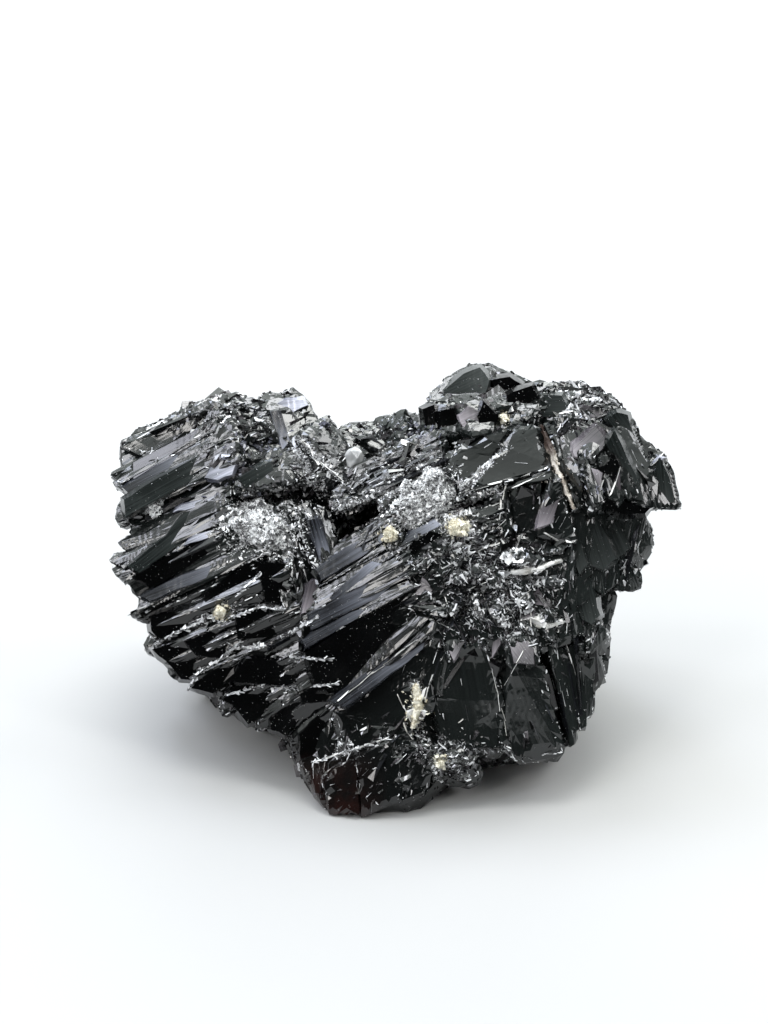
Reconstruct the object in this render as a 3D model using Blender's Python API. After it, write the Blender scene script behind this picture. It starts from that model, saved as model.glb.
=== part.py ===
"""Cassiterite specimen: one black, bladed ore mass with small inclusions of quartz and cream mineral.

The mass is a single piece. It is modelled the way such a crystal mass grows: a lumpy core, parallel
bundles of flat blades laid over it like roof slates, and a few large single crystals with flat faces.
All of them overlap, and one Boolean union joins them into one solid. A flat break under the mass is the
face that it rests on.

Most points are given on the display face, the broad side that leans back. There u runs to the right, v
runs up the face and w stands out of it, all in millimetres. on_face() turns them into the part's own
frame: +X to the right, +Y towards the back, +Z up, with the origin on the resting face below the centre
of mass.
"""

import math
import random

import bmesh
import bpy
from mathutils import Vector

MM = 0.001
LEAN = math.radians(35)  # the display face looks this far above the horizon
FACE_U = 44.25  # the u of the part's X = 0
FACE_V = 0.5  # the v of the lowest tip of the display face
REST_BACK = 30.0  # how far behind that tip the origin lies
GAP = 0.35  # clearance round each inclusion in its pocket
FRONT_EDGE = -0.5  # where a slat's broad front face ends, in widths below its middle line
SHADED = {"crest": -0.05, "fall": 0.45, "front": 2.6}  # slats with a broad front face under the crest
SEED = 1811
FLAT_WITHIN = math.radians(1.0)  # faces that turn less than this count as one


def on_face(u, v, w):
    """A point of the display face in the part's frame, in metres."""
    up = v - FACE_V
    back = up * math.sin(LEAN) - w * math.cos(LEAN) - REST_BACK
    height = up * math.cos(LEAN) + w * math.sin(LEAN)
    return Vector((u - FACE_U, back, height)) * MM


def at(x, y, z):
    """A point in the part's own frame, from millimetres."""
    return Vector((x, y, z)) * MM


FACE_OUT = (on_face(0, 0, 1) - on_face(0, 0, 0)).normalized()
LEFT_HEART = on_face(24, 38, -14)
RIGHT_HEART = on_face(66, 38, -14)
LOW_HEART = on_face(46, 20, -12)
HEARTS = (LEFT_HEART, RIGHT_HEART, LOW_HEART)


def nearest_heart(point):
    """The inner point that a crystal at this place grows from."""
    return min(HEARTS, key=lambda heart: (heart - point).length)


# ---------------------------------------------------------------- materials


def make_material(name, colour, roughness, metallic=0.0):
    material = bpy.data.materials.new(name)
    material.use_nodes = True
    shader = material.node_tree.nodes["Principled BSDF"]
    shader.inputs["Base Color"].default_value = (*colour, 1.0)
    shader.inputs["Roughness"].default_value = roughness
    shader.inputs["Metallic"].default_value = metallic
    return material


# ---------------------------------------------------------------- convex crystals


def hull_object(name, points, helper=True):
    """The convex solid over the points, as an object. A helper is joined or cut later, and isn't a piece."""
    mesh = bpy.data.meshes.new(name)
    shape = bmesh.new()
    for point in points:
        shape.verts.new(point)
    made = bmesh.ops.convex_hull(shape, input=shape.verts)
    loose = [v for v in made["geom_interior"] if isinstance(v, bmesh.types.BMVert)]
    bmesh.ops.delete(shape, geom=loose, context="VERTS")
    bmesh.ops.recalc_face_normals(shape, faces=shape.faces)
    shape.to_mesh(mesh)
    shape.free()
    obj = bpy.data.objects.new(name, mesh)
    if helper:
        obj.hide_render = True
        obj.display_type = "WIRE"
    return obj


def block(name, front, reach=0.45, root=None):
    """A single crystal: its front corners, and the same corners drawn in towards a point inside the mass."""
    corners = [on_face(*corner) for corner in front]
    middle = sum(corners, Vector()) / len(corners)
    heart = on_face(*root) if root else nearest_heart(middle)
    roots = [corner + (heart - corner) * reach for corner in corners]
    return hull_object(name, corners + roots)


def blade(name, start, end, out, width, root, crest, fall, slants, skews, taper, front=0.0):
    """One slat. Its section has four corners: a crest, a tread that falls away from it, and a narrower root.

    front gives it a broad face below the crest instead of a steep riser: it is how far that face runs for each
    unit that it drops, so a large front looks nearly straight out.
    Each end is cut by one plane: slant leans that cut back, and skew turns it sideways, so the end comes
    to a point.
    """
    axis = (end - start).normalized()
    out = (out - axis * out.dot(axis)).normalized()
    side = out.cross(axis)
    depth = root / width
    section = [(crest, 0.0), (0.5, -fall), (0.45, -depth)]
    if front:
        section += [(FRONT_EDGE, -depth), (FRONT_EDGE, -(crest - FRONT_EDGE) / front)]
    else:
        section.append((crest - 0.2 * depth, -depth))
    points = []
    for place, way, scale, slant, skew in zip((start, end), (-1.0, 1.0), (1.0, taper), slants, skews):
        for across, height in section:
            cut = slant * (height + depth) / depth + skew * across
            points.append(place + (side * across + out * height - axis * way * cut) * width * scale)
    return hull_object(name, points)


def uneven_shares(rng, count):
    """The edges of count bands that together fill 0 to 1 and aren't equally wide."""
    widths = [rng.uniform(0.55, 1.6) for _ in range(count)]
    marks = [0.0]
    for width in widths:
        marks.append(marks[-1] + width / sum(widths))
    return marks


def bundle(name, quad, count, fall=0.42, crest=-0.38, step=0.5, ragged=0.08, root=6.0, breaks=1, slant=0.5,
           overlap=1.4, stray=0.03, out=None, front=0.0):
    """Parallel blades between two lines: quad is the bundle's low and high start, then its low and high end.

    breaks cuts each slat into that many lengths, which stand at slightly different heights. step is how much
    the heights differ in millimetres, ragged is how much the ends differ as a share of the length, and stray
    is how far a blade turns away from its neighbours. front is the same as for one blade.
    """
    rng = random.Random(f"{SEED} {name}")
    low_start, high_start, low_end, high_end = quad
    outward = out or FACE_OUT
    spread = ((high_start - low_start).length + (high_end - low_end).length) / 2
    marks = uneven_shares(rng, count)
    made = []
    for row, (low, high) in enumerate(zip(marks, marks[1:])):
        t = (low + high) / 2
        width = (high - low) * spread * overlap
        start = low_start.lerp(high_start, t + rng.uniform(-stray, stray))
        end = low_end.lerp(high_end, t + rng.uniform(-stray, stray))
        run = end - start
        start = start - run * rng.uniform(-ragged * 0.6, ragged)
        end = end + run * rng.uniform(-ragged * 0.6, ragged)
        cuts = sorted(rng.uniform(0.15, 0.85) for _ in range(breaks - 1))
        stations = [0.0, *cuts, 1.0]
        for part, (near, far) in enumerate(zip(stations, stations[1:])):
            lift = outward * rng.uniform(-step, step) * MM
            first = start.lerp(end, max(0.0, near - 0.04)) + lift
            last = start.lerp(end, min(1.0, far + 0.04)) + lift
            if (last - first).length < width * 0.5:
                continue
            made.append(blade(
                f"{name}_{row}_{part}", first, last, outward, width * rng.uniform(0.9, 1.15), root * MM,
                crest + rng.uniform(-0.08, 0.15), fall * rng.uniform(0.6, 1.4),
                (rng.uniform(-0.3, 1.0) * slant, rng.uniform(-0.3, 1.0) * slant),
                (rng.uniform(-0.9, 0.9), rng.uniform(-0.9, 0.9)), rng.uniform(0.72, 1.0), front,
            ))
    return made


def face_bundle(name, low_start, high_start, low_end, high_end, count, **how):
    quad = [on_face(*corner) for corner in (low_start, high_start, low_end, high_end)]
    return bundle(name, quad, count, **how)


def splinter(name, rng, place, length, grain=None):
    """A small broken crystal: two tips and a crooked triangle between them. grain is the way it points."""
    stray = Vector([rng.gauss(0, 1) for _ in range(3)])
    axis = (grain + stray * 0.35 if grain else stray).normalized()
    side = axis.orthogonal().normalized()
    other = axis.cross(side)
    points = [place + axis * length * rng.uniform(0.5, 1.0), place - axis * length * rng.uniform(0.5, 1.0)]
    start = rng.uniform(0, math.tau)
    for corner in range(3):
        angle = start + corner * math.tau / 3 + rng.uniform(-0.5, 0.5)
        radius = length * (rng.uniform(0.3, 0.5) if grain else rng.uniform(0.4, 0.75))
        along = axis * length * rng.uniform(-0.3, 0.3)
        points.append(place + along + side * math.cos(angle) * radius + other * math.sin(angle) * radius)
    return hull_object(name, points)


def crumbs(name, quad, count, size, lift=0.4, grain=None):
    """Splinters strewn over a four-cornered patch of the display face. grain is a direction in u, v and w."""
    rng = random.Random(f"{SEED} {name}")
    corners = [on_face(*corner) for corner in quad]
    way = (on_face(*grain) - on_face(0, 0, 0)).normalized() if grain else None
    made = []
    for number in range(count):
        # Each splinter takes its own cell of the patch, so that none of it is left bare.
        s = ((number * 0.618) + rng.uniform(-0.1, 0.1)) % 1.0
        t = (number + rng.uniform(0.2, 0.8)) / count
        place = corners[0].lerp(corners[1], s).lerp(corners[2].lerp(corners[3], s), t)
        place = place + FACE_OUT * lift * rng.uniform(-1, 1) * MM
        made.append(splinter(f"{name}_{number}", rng, place, size * rng.uniform(0.6, 1.3) * MM, way))
    return made


# ---------------------------------------------------------------- the core under the blades


def core():
    """Overlapping lumps that carry every blade: two upper lobes, a bridge behind them, and a stepped foot."""
    left = [(6.5, 44, -6), (7, 51, -9.5), (15, 57.5, -9), (24, 60, -9.5), (34, 57, -9), (36, 46, -6),
            (35, 32, -1),
            (33, 22, -1), (21, 20, -4), (12, 25, -5), (8, 34, -6),
            at(-34, 6, 19), at(-31, 12, 30), at(-6, 13, 33), at(-4, 14, 8), at(-29, 12, 6)]
    right = [(50, 58, -3), (56, 65, -9), (64, 64, -10), (73, 60.5, -10), (76, 53, -8), (75.5, 42, -6),
             (74.5, 36, -5.5), (71, 27, -4), (66, 24, 0), (50, 26, 2), (42, 44, -1), (44, 50, -3.5),
             at(6, 14, 34), at(26, 12, 34), at(30, 8, 30), at(27, 11, 6), at(4, 14, 8)]
    behind = [at(-29, 9, 28), at(-12, 14, 33), at(12, 14, 34), at(28, 9, 28), at(-29, 12, 4),
              at(-14, 14, 4),
              at(14, 14, 4), at(27, 12, 4), at(0, 15, 18), at(0, 7, 36), at(-20, -8, 10), at(20, -8, 10)]
    front_foot = [at(-9, -28.8, -2), at(2, -28.8, -2), at(11.5, -16.5, -2), at(14, 0, -2), at(-20, 0, -2),
                  at(-17, -8.5, -2), at(-13, -21, -2), (33, 3, 0), (46, 3, 0.6), (55, 10, 0), (48, 26, 2),
                  (36, 26, 1), (29, 12, -2)]
    rear_foot = [at(-30, 4.5, -2), at(-22.5, -4.5, -2), at(-17, -8, -2), at(12, -15.5, -2),
                 at(24.5, -11.5, -2),
                 at(26.5, -2, -2), at(27.5, 3.5, -2), at(27, 13, -2), at(-30, 13, -2), (11, 27, -5.5),
                 (17, 22, -4.5),
                 (26, 17, -3), (31, 14, -2), (60, 11, 0), (69, 11.5, -1.5), (71, 18, -2.5), (71.5, 27, -4),
                 at(-31, 13, 14), at(28, 13, 14)]
    lumps = {"core_left": left, "core_right": right, "core_behind": behind, "core_front_foot": front_foot,
             "core_rear_foot": rear_foot}
    return [
        hull_object(name, [p if isinstance(p, Vector) else on_face(*p) for p in points])
        for name, points in lumps.items()
    ]


# ---------------------------------------------------------------- regions of the display face


def left_wing():
    """Slats that rise to the right, stepped like roof slates from the upper rim down to the lower edge."""
    return [
        *face_bundle("crown", (2.2, 52.2, -5), (4.8, 57, -8), (17.3, 60.3, -3), (21.8, 63, -7), 2,
                     breaks=2, step=0.8),
        *face_bundle("crown_top", (10.5, 57.6, -6), (12.3, 60.3, -8), (22.2, 62, -4), (21.4, 63.4, -7), 2,
                     step=0.7, root=7),
        *face_bundle("high_slats", (3.1, 48.6, -4), (2.4, 51.8, -5), (20.5, 57.8, -0.5),
                     (18.8, 60.6, -2.5), 2, root=7),
        *face_bundle("broad_slats", (3.6, 45.4, -3), (3.4, 48.4, -3.5), (20.3, 53.8, 0.5),
                     (21, 57.4, 0.5), 2, fall=0.3, step=0.3, root=7),
        *face_bundle("back_shelf", (4.8, 43, -4), (5.2, 45.6, -4.5), (20.3, 50.8, -1.5), (20.5, 53.6, -1),
                     1, root=7),
        *face_bundle("middle_slats", (2.6, 39.4, -2), (4.6, 43.4, -3), (20.4, 47.8, 1.5),
                     (20.4, 51.2, 0.8), 2, root=7),
        *face_bundle("deep_slats", (3.2, 36.4, -2.2), (2.6, 39, -2), (20.8, 44.6, 1.5), (20.6, 47.4, 1.5),
                     2, fall=0.5),
        block("shade_face", ((4, 35.8, -1.9), (20, 44.8, 1.6), (22.6, 41, 0.6), (6.2, 31.9, -3))),
        *face_bundle("lit_slats", (6.5, 31.4, -2), (4.8, 33.2, -2.4), (24.6, 39.8, 2.2), (22.8, 41.6, 2), 1,
                     fall=0.35),
        *face_bundle("shade_slats", (7.4, 28, -2.5), (6.6, 31.2, -2.5), (28.6, 36.8, 3),
                     (25.4, 39.6, 2.6), 2, **SHADED),
        *face_bundle("low_slats", (9.2, 24.4, -2.5), (7.6, 27.8, -2.5), (31, 33.9, 3.5), (29, 36.6, 3.2),
                     2, breaks=2, ragged=0.05, **SHADED),
        *face_bundle("edge_slats", (14.2, 20.4, -2.5), (9.6, 24.2, -2.5), (34, 29.4, 3.4),
                     (31.6, 33.7, 3.5), 3, ragged=0.03, **SHADED),
        *face_bundle("foot_slats", (21.8, 15.6, -2), (14.6, 20, -2.5), (35.6, 24.4, 3), (34.4, 29, 3.4), 3,
                     breaks=2, ragged=0.03, **SHADED),
        *face_bundle("heel_slats", (29, 11, -1.5), (22.6, 15.6, -2), (37.2, 18.6, 2.6), (35.8, 24, 3), 3,
                     ragged=0.03, **SHADED),
        *face_bundle("toe_slats", (31.8, 6.2, -0.8), (30, 10.8, -1), (44.2, 14.4, 2.6), (38.4, 18.4, 2), 2,
                     ragged=0.05, **SHADED),
        *face_bundle("inner_slats", (20.6, 49.2, 0.8), (20.7, 57.6, -1.5), (33, 51.2, 2.2),
                     (28.6, 61.4, -4), 4, breaks=2, step=0.9, ragged=0.1),
        block("crown_bridge", ((20, 61.4, -4), (21.6, 63.4, -6), (25, 62.6, -6), (25.5, 58.5, -3),
                               (21, 58.5, -2))),
    ]


def peak_and_hollow():
    """The pale peak over the left lobe, the dark block beside it, and the blades hung into the hollow."""
    return [
        block("peak", ((23.7, 60, -3), (25.2, 63.3, -6), (28.8, 64.8, -7.5), (31.2, 62.4, -5), (33, 59, -3),
                       (29, 56.5, -1.5))),
        block("dark_block", ((30.5, 57.6, 0.5), (33.8, 60.5, -3), (35, 58.4, -2.5), (36.8, 55.2, -1),
                             (36.3, 51.3, 1),
                             (32.5, 54, 2))),
        *face_bundle("hanging_blades", (27.6, 46.5, 1.5), (32.4, 47.9, 2.5), (32.4, 31.8, 4),
                     (35.1, 39.6, 5.2), 3,
                     fall=0.5),
        *face_bundle("brown_faces", (22.2, 39.3, 1.3), (29.7, 40.8, 2.4), (24.3, 32.7, 2),
                     (32.7, 31.2, 4), 3,
                     fall=0.3),
    ]


def sheaf():
    """Long smooth blades in the middle, with two black faces under them and a ridge between those."""
    return [
        *face_bundle("sheaf_top", (32.4, 33.4, 4.7), (33.8, 39.4, 3.8), (46, 40.8, 7.2), (43.8, 46, 6.2), 5,
                     step=0.35, fall=0.35, root=5, stray=0.06),
        *face_bundle("sheaf_low", (30.8, 26.2, 4.2), (32.4, 33, 4.9), (46.8, 34.4, 7.6),
                     (46.6, 40.4, 7.5), 5,
                     step=0.35, fall=0.35, root=5, stray=0.06),
        block("window_high", ((32.7, 25.8, 4), (46.2, 34, 6.6), (48.6, 32.8, 6.6), (49.2, 29.7, 5.6),
                              (35.4, 18, 2.2))),
        *face_bundle("ridge", (34.8, 16.8, 3), (35.7, 19.2, 3.6), (50.2, 28.4, 7), (48.4, 31.4, 7.4), 2,
                     step=0.2,
                     fall=0.3),
        block("window_low", ((35.7, 16.2, 2.4), (49.8, 27, 5.6), (51.9, 26.1, 5.6), (50.1, 18, 4.2),
                             (45.6, 12.3, 3),
                             (36.8, 7.8, 1))),
    ]


def saddle():
    """The low bridge between the lobes: a flat floor far back, dark spikes on it, streaky blades in front."""
    return [
        block("saddle_floor", ((35.1, 58.2, -6), (37.8, 59.1, -7.5), (42, 59.7, -8), (45.5, 58.5, -6),
                               (45, 52.5, -2), (36, 52.5, -2.5))),
        *face_bundle("spikes", (40.8, 56, -4), (48.8, 57, -2), (41.1, 60, -6), (48.6, 61.2, -4.5), 4,
                     step=1.0,
                     ragged=0.2, slant=1.0, root=6),
        *face_bundle("streaks", (33.3, 45.8, 2.5), (36.8, 51.2, 1), (51.4, 52.6, 4.8), (50.4, 58, 2), 5,
                     step=0.6, ragged=0.1),
        *face_bundle("mid_shelf", (44.4, 43.2, 5.6), (42, 47.4, 4.4), (56, 49, 6), (52.6, 53.6, 5), 3,
                     step=0.6),
    ]


def top_lobe():
    """The highest block of the right lobe, rounded lumps at its foot, and the large flat face below them."""
    return [
        block("top_block", ((49.2, 63.3, -2), (51.9, 66.3, -5), (55.5, 68.2, -7), (58, 68.6, -8),
                            (60.8, 67.2, -7),
                            (66, 65.1, -6), (67, 62.8, -3), (65, 60.3, 0), (60, 60, 0.6),
                            (51, 60.6, -0.6))),
        block("top_left_face", ((49.4, 62.6, -1), (51.8, 65.6, -3.8), (55.8, 66.6, -4.6),
                                (57.4, 63.2, -0.6),
                                (53, 61.6, 0.6))),
        block("top_right_face", ((57, 63, -0.8), (58.4, 66.6, -5), (62, 65.4, -4), (64, 62.4, -1.4),
                                 (60.6, 60.8, 1.2))),
        block("lump_left", ((48.6, 58.2, 1), (48.9, 62.6, -1), (52.8, 62.4, 0), (54.3, 60.8, 1.4),
                            (53.7, 57.9, 2.4)), 0.3),
        block("lump_middle", ((53.7, 58.5, 2.5), (54, 62.4, 1.5), (56.7, 63.3, 1), (59.1, 61.8, 2.2),
                              (58.8, 58.2, 4.2), (56, 57.6, 4.4)), 0.3),
        block("lump_right", ((58.5, 58.2, 3.2), (59.1, 62.4, 1.6), (61.8, 63.3, 0.6), (63.6, 61.5, 2),
                             (63, 58.5, 3.4)), 0.3),
        block("slab", ((61.8, 61.2, 2.4), (62.4, 63.9, 0.2), (66, 65.7, -2), (67.8, 64.5, -1),
                       (64.5, 60.3, 3))),
        block("flat_face_left", ((51.3, 51.9, 5.4), (53.4, 55.5, 5), (57.3, 57.3, 4.6), (62.3, 58.5, 4.2),
                                 (60.9, 55.8, 5.2), (54.6, 50, 6.6))),
        block("flat_face_right", ((60.9, 55.8, 5.3), (62.2, 58.5, 4.3), (66.6, 58.8, 4), (68, 53.2, 6.1),
                                  (63, 51.3, 6.7), (56, 49.8, 7.1))),
        *face_bundle("fringe", (54.3, 48, 5.5), (55.5, 49.8, 5.6), (67.6, 51, 7.4), (67.2, 52.8, 6.6), 2,
                     step=0.3),
        *face_bundle("rim_shards", (66.6, 59.4, 1), (66.8, 64.2, -4), (78.6, 61.4, -1.4),
                     (75.6, 64.6, -6), 4,
                     breaks=2, step=0.9, ragged=0.08),
        *crumbs("rim_crystals", ((63, 60.5, 2.8), (69, 58.8, 4.4), (66, 64.6, -0.6), (76, 63.4, -1.6)), 7,
                2.4, 0.5,
                (0.7, 0.7, 0.2)),
    ]


def dark_panels():
    """Black faces below the large flat one, parted from the right block by the pale seam."""
    return [
        block("seam_wall", ((65.8, 59.6, 3.6), (67.6, 54.6, 5.4), (69, 51, 6.6), (70.8, 46.4, 6),
                            (72.4, 47.4, 4.6),
                            (70.6, 53, 4.6), (68.2, 59, 3.4)), 0.3),
        block("panel_left", ((57.6, 47.7, 5.6), (60.9, 49.5, 6.6), (61.8, 42, 5.6), (58.5, 42.9, 5))),
        block("panel_middle", ((61, 49.5, 5.6), (66, 50.7, 6.4), (65.6, 45, 6.4), (64.8, 41.8, 5.6),
                               (61.8, 42.3, 4.6))),
        block("panel_right", ((67.6, 52, 7), (68.6, 50.6, 7.4), (71.2, 41.4, 6), (65.6, 42.6, 6.4),
                              (66, 46, 7.6))),
    ]


def right_block():
    """The overhanging block at the right: a bright facet, hanging teeth and two striated plates."""
    return [
        block("shoulder_block", ((68.4, 59.4, 3), (71.3, 62.7, -2), (77.7, 63.6, -5), (79.5, 60.6, -3),
                                 (81, 57, 0), (81, 48.3, 4.5), (75.9, 48.3, 7.6), (72.6, 50.4, 8),
                                 (69.9, 52.5, 6))),
        block("bright_facet", ((72, 55.5, 7), (74.1, 59.1, 5.4), (75.6, 56.4, 7), (73.5, 54, 8.6)), 0.3),
        *face_bundle("teeth", (71.7, 55.2, 7.2), (77.4, 55.5, 6.6), (73.8, 48.2, 9.2), (80.4, 47.8, 7), 5,
                     fall=0.4, ragged=0.1, root=5),
        block("plate", ((77.4, 60.9, 1), (79.8, 59.8, 0.4), (82.5, 52.5, 3), (82.2, 47, 4.4),
                        (78.6, 47.3, 6)), 0.3),
        block("plate_step", ((78.5, 58.6, -1), (81.2, 57.3, -1.6), (83.9, 55.2, -0.6), (83, 50, 0.5),
                             (79, 50, 2)), 0.5, root=(66, 54, -14)),
        block("end_plate", ((81.9, 52.3, 2), (84, 55, 0.6), (85.8, 51.8, 0.4), (87, 46.8, 0.8),
                            (81.4, 47, 3)), 0.4,
              root=(66, 53, -12)),
    ]


def right_columns():
    """Upright striated columns below the overhang, down to the lower right edge."""
    return [
        *face_bundle("columns", (70.4, 49, 4.8), (81.5, 47, -0.5), (71.6, 32.2, 3.8), (79.6, 35.4, -2.5), 5,
                     step=0.4, ragged=0.06),
        block("shoulder", ((80.4, 46.2, -1.5), (82.2, 44.7, -3), (83, 41.3, -3.8), (81, 37.2, -3.5),
                           (79.5, 39, -0.5))),
        block("elbow", ((79, 39, -0.6), (81, 36.6, -1.8), (81.4, 34.6, -2), (77.7, 34.5, -0.4))),
        *face_bundle("low_columns", (70, 34.8, 4), (74.6, 33.6, 0.5), (71.6, 26.7, 3.2),
                     (74.6, 27.4, 0.5), 3,
                     step=0.3, ragged=0.05),
        block("knob", ((72.6, 28.8, 1.6), (75, 29.4, 0.5), (76.2, 27.6, -0.8), (75.6, 25.5, -0.8),
                       (73.2, 25.2, 1.4))),
        block("low_knob_right", ((71, 23.6, 1.6), (74.4, 24.4, 0), (75.2, 21.6, -1.2), (74, 19.4, -1.4),
                                 (70.6, 20, 0.8))),
        *face_bundle("skirt_columns", (66.8, 27.4, 4.8), (73, 26, 1.5), (70.6, 10.8, 1.2),
                     (73.4, 15.6, -0.8), 4,
                     step=0.4, ragged=0.04),
    ]


def lower_faces():
    """The two large smooth faces at the lower right, and the pale facets over them."""
    return [
        block("smooth_left", ((51.6, 26.1, 5.4), (57.3, 27, 6.4), (60.3, 18, 4.4), (60.6, 11.1, 2),
                              (51.9, 10.8, 1.4),
                              (49.5, 18, 3.4))),
        block("smooth_right", ((61.8, 23.4, 6), (66.3, 22.8, 5.6), (69.3, 10.2, 1.8), (62.4, 9.4, 1.4),
                               (60.6, 11.7, 2), (60.9, 18, 4.2))),
        block("pale_facet", ((60.9, 27, 6.6), (64.8, 27.6, 6), (65.7, 23.7, 6.8), (61.8, 22.8, 7.2)), 0.3),
        block("small_facet", ((51.9, 26.6, 6.4), (54.3, 27, 6), (52.5, 24, 6.6)), 0.3),
        *face_bundle("divider", (58, 24.5, 5), (59, 24.8, 5.4), (60.2, 11.5, 2.4), (61.4, 11.5, 2.6), 1,
                     root=4),
    ]


def tip():
    """The narrow foot of the display face, where thin edges show dark red."""
    return [
        block("tip_left", ((33.3, 6.6, 1), (38.4, 9.3, 2.4), (38.7, 0.8, 1), (34.5, 0.9, 0.2))),
        block("tip_middle", ((38.4, 9.3, 2.6), (44.4, 12.3, 3.6), (45.3, 3, 1.8), (39.3, 0.6, 0.8))),
        block("tip_right", ((44.4, 12.3, 3.6), (49.8, 10.8, 3), (48.6, 3.6, 1.4), (45, 2.1, 1.2))),
        block("low_knob", ((49.5, 9.8, 2.6), (55.2, 10.2, 2), (56.7, 5.7, -0.4), (51.8, 5.4, 0))),
        *crumbs("tip_crystals", ((32.5, 3.5, 0.4), (47, 1.6, 0.8), (33, 6, 0.2), (50, 5.4, 0.8)), 8, 1.7,
                0.4,
                (0.6, 0.8, 0.2)),
        *crumbs("rim_crumbs", ((49, 5.4, 0.4), (60, 9.6, 0.2), (50, 7, 0.6), (61, 11, 0.8)), 5, 1.6),
    ]


def crumbly_middle():
    """The broken zone between the sheaf and the right columns, where small crystals point every way."""
    return [
        block("middle_block", ((45.3, 41.4, 5.4), (56, 43.2, 5.6), (70.6, 41.4, 5.4), (71.2, 28, 3.8),
                               (60, 24, 5),
                               (49.5, 27.5, 6), (46, 33, 6.4))),
        *face_bundle("low_fringe", (47.5, 40.5, 6.6), (46.4, 43.2, 6.4), (60.5, 45, 6.2), (60, 47.5, 6), 2,
                     step=0.5),
        *crumbs("fan_crystals", ((48, 34, 6.8), (68, 35, 5.6), (47, 41, 6.4), (69, 41, 6)), 9, 3.6, 0.5,
                (0.8, 0.5, 0.1)),
        *crumbs("steep_crystals", ((49, 28, 6.6), (69, 28, 5), (48, 34, 6.8), (69, 35, 5.4)), 9, 3.6, 0.5,
                (0.4, -0.8, 0.1)),
        *crumbs("saddle_crystals", ((31, 47, 2.6), (43, 45, 5), (33, 50.5, 1.2), (43, 51, 3.6)), 6, 2.3,
                0.5,
                (0.7, 0.6, 0.2)),
    ]


# ---------------------------------------------------------------- sides and back


def hidden_sides():
    """Deeper layers of the same blades, seen end-on at the left, and the broken right side, back and top."""
    back_out = Vector((0.0, 0.97, 0.25))
    top_out = Vector((0.0, 0.5, 0.87))
    right_out = Vector((0.98, 0.2, 0.0))
    layers = []
    for layer, depth in enumerate((-10.5, -17.5)):
        inset = 1.2 * layer
        layers += face_bundle(f"left_layer_{layer}", (9.5 + inset, 26 + 2 * inset, depth),
                              (5 + inset, 51, depth - 1),
                              (26, 32, depth), (24, 57, depth), 4, step=1.0, ragged=0.06, root=5)
    return [
        *layers,
        *bundle("right_side", [on_face(79.5, 54, -5), on_face(76.5, 50, -22), on_face(74.5, 19, -3.5),
                               on_face(73, 28, -17)], 3, out=right_out, step=1.0, ragged=0.04, root=7),
        *bundle("back_left", (at(-33, 13, 4), at(-35, 11, 20), at(-1, 17.5, 11), at(-4, 16.5, 36)), 3,
                out=back_out,
                breaks=2, step=1.2, root=8),
        *bundle("back_right", (at(4, 17, 36), at(28, 13, 34), at(3, 18, 3), at(28, 14, 4)), 5, out=back_out,
                step=1.2, ragged=0.05, root=8),
        *bundle("back_foot", (at(-28, 14, 2), at(-28, 15, 7), at(2, 17, 2), at(2, 17.5, 8)), 2,
                out=back_out,
                breaks=2, step=0.8),
        *bundle("top_left", (at(-34, 6, 34), at(-32, 12, 31), at(-12, 9, 42), at(-10, 15, 37)), 3,
                out=top_out,
                breaks=2, step=0.8),
        *bundle("top_right", (at(9, 14, 43), at(10, 18, 36), at(30, 10, 41), at(28, 15, 35)), 3,
                out=top_out,
                breaks=2, step=0.9),
        *bundle("left_under", (at(-28, 4, 3), at(-33, 3, 16), at(-13, -19, 4), at(-16, -17, 10)), 4,
                out=Vector((-0.75, -0.5, -0.4)), step=0.5, ragged=0.02, root=5),
        *bundle("right_under", (at(25, -2, 2), at(28, -5, 12), at(10, -16, 2), at(20, -13, 8)), 3,
                out=Vector((0.7, -0.6, -0.4)), step=0.4, ragged=0.02, root=5),
    ]


# ---------------------------------------------------------------- inclusions and their pockets

QUARTZ = "quartz"
CREAM = "cream"

# name, material, centre on the display face, half sizes along u, v and w, and the turn in degrees
GRAINS = (
    ("quartz_grain", QUARTZ, (38.0, 54.3, -2.5), (1.7, 2.1, 1.7), -20),
    ("quartz_crust_left", QUARTZ, (24.6, 43.4, -0.8), (5.4, 4.2, 3.5), -25),
    ("quartz_crust_middle", QUARTZ, (49, 48.4, 4.7), (6.4, 4.0, 1.9), 32),
    ("quartz_cluster_edge", QUARTZ, (7.9, 47.0, -3.2), (1.2, 1.7, 1.4), 10),
    ("cream_chip_left", CREAM, (18.4, 31.3, 0.1), (1.9, 1.3, 1.3), 15),
    ("cream_chip_sheaf", CREAM, (43.3, 42.3, 6.1), (1.5, 1.8, 1.5), 30),
    ("cream_chip_middle", CREAM, (53.8, 44.1, 6.2), (2.4, 1.6, 1.5), 35),
    ("cream_chip_top", CREAM, (60.6, 60.3, 2.4), (0.9, 1.7, 1.4), -15),
    ("cream_chip_low", CREAM, (51.1, 8.7, 1.8), (0.9, 1.1, 1.2), 20),
)

# name, material, half width, depth, and the line that it follows on the display face
SEAMS = (
    ("cream_seam", CREAM, 0.6, 2.2, ((66.2, 59.0, 4.0), (67.6, 54.6, 5.9), (69.0, 51.2, 6.7),
                                     (70.8, 46.9, 6.1))),
    ("cream_sliver_middle", CREAM, 0.5, 1.8, ((61.8, 37.2, 5.9), (65.4, 37.6, 5.9), (69.0, 39.0, 5.5))),
    ("cream_sliver_right", CREAM, 0.8, 1.8, ((64.6, 30.6, 5.1), (66.6, 29.2, 4.9), (69.2, 30.0, 4.5))),
    ("cream_splinters", CREAM, 0.9, 2.2, ((47.2, 20.2, 4.5), (47.9, 17.4, 4.2), (46.6, 14.2, 3.5))),
)


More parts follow.
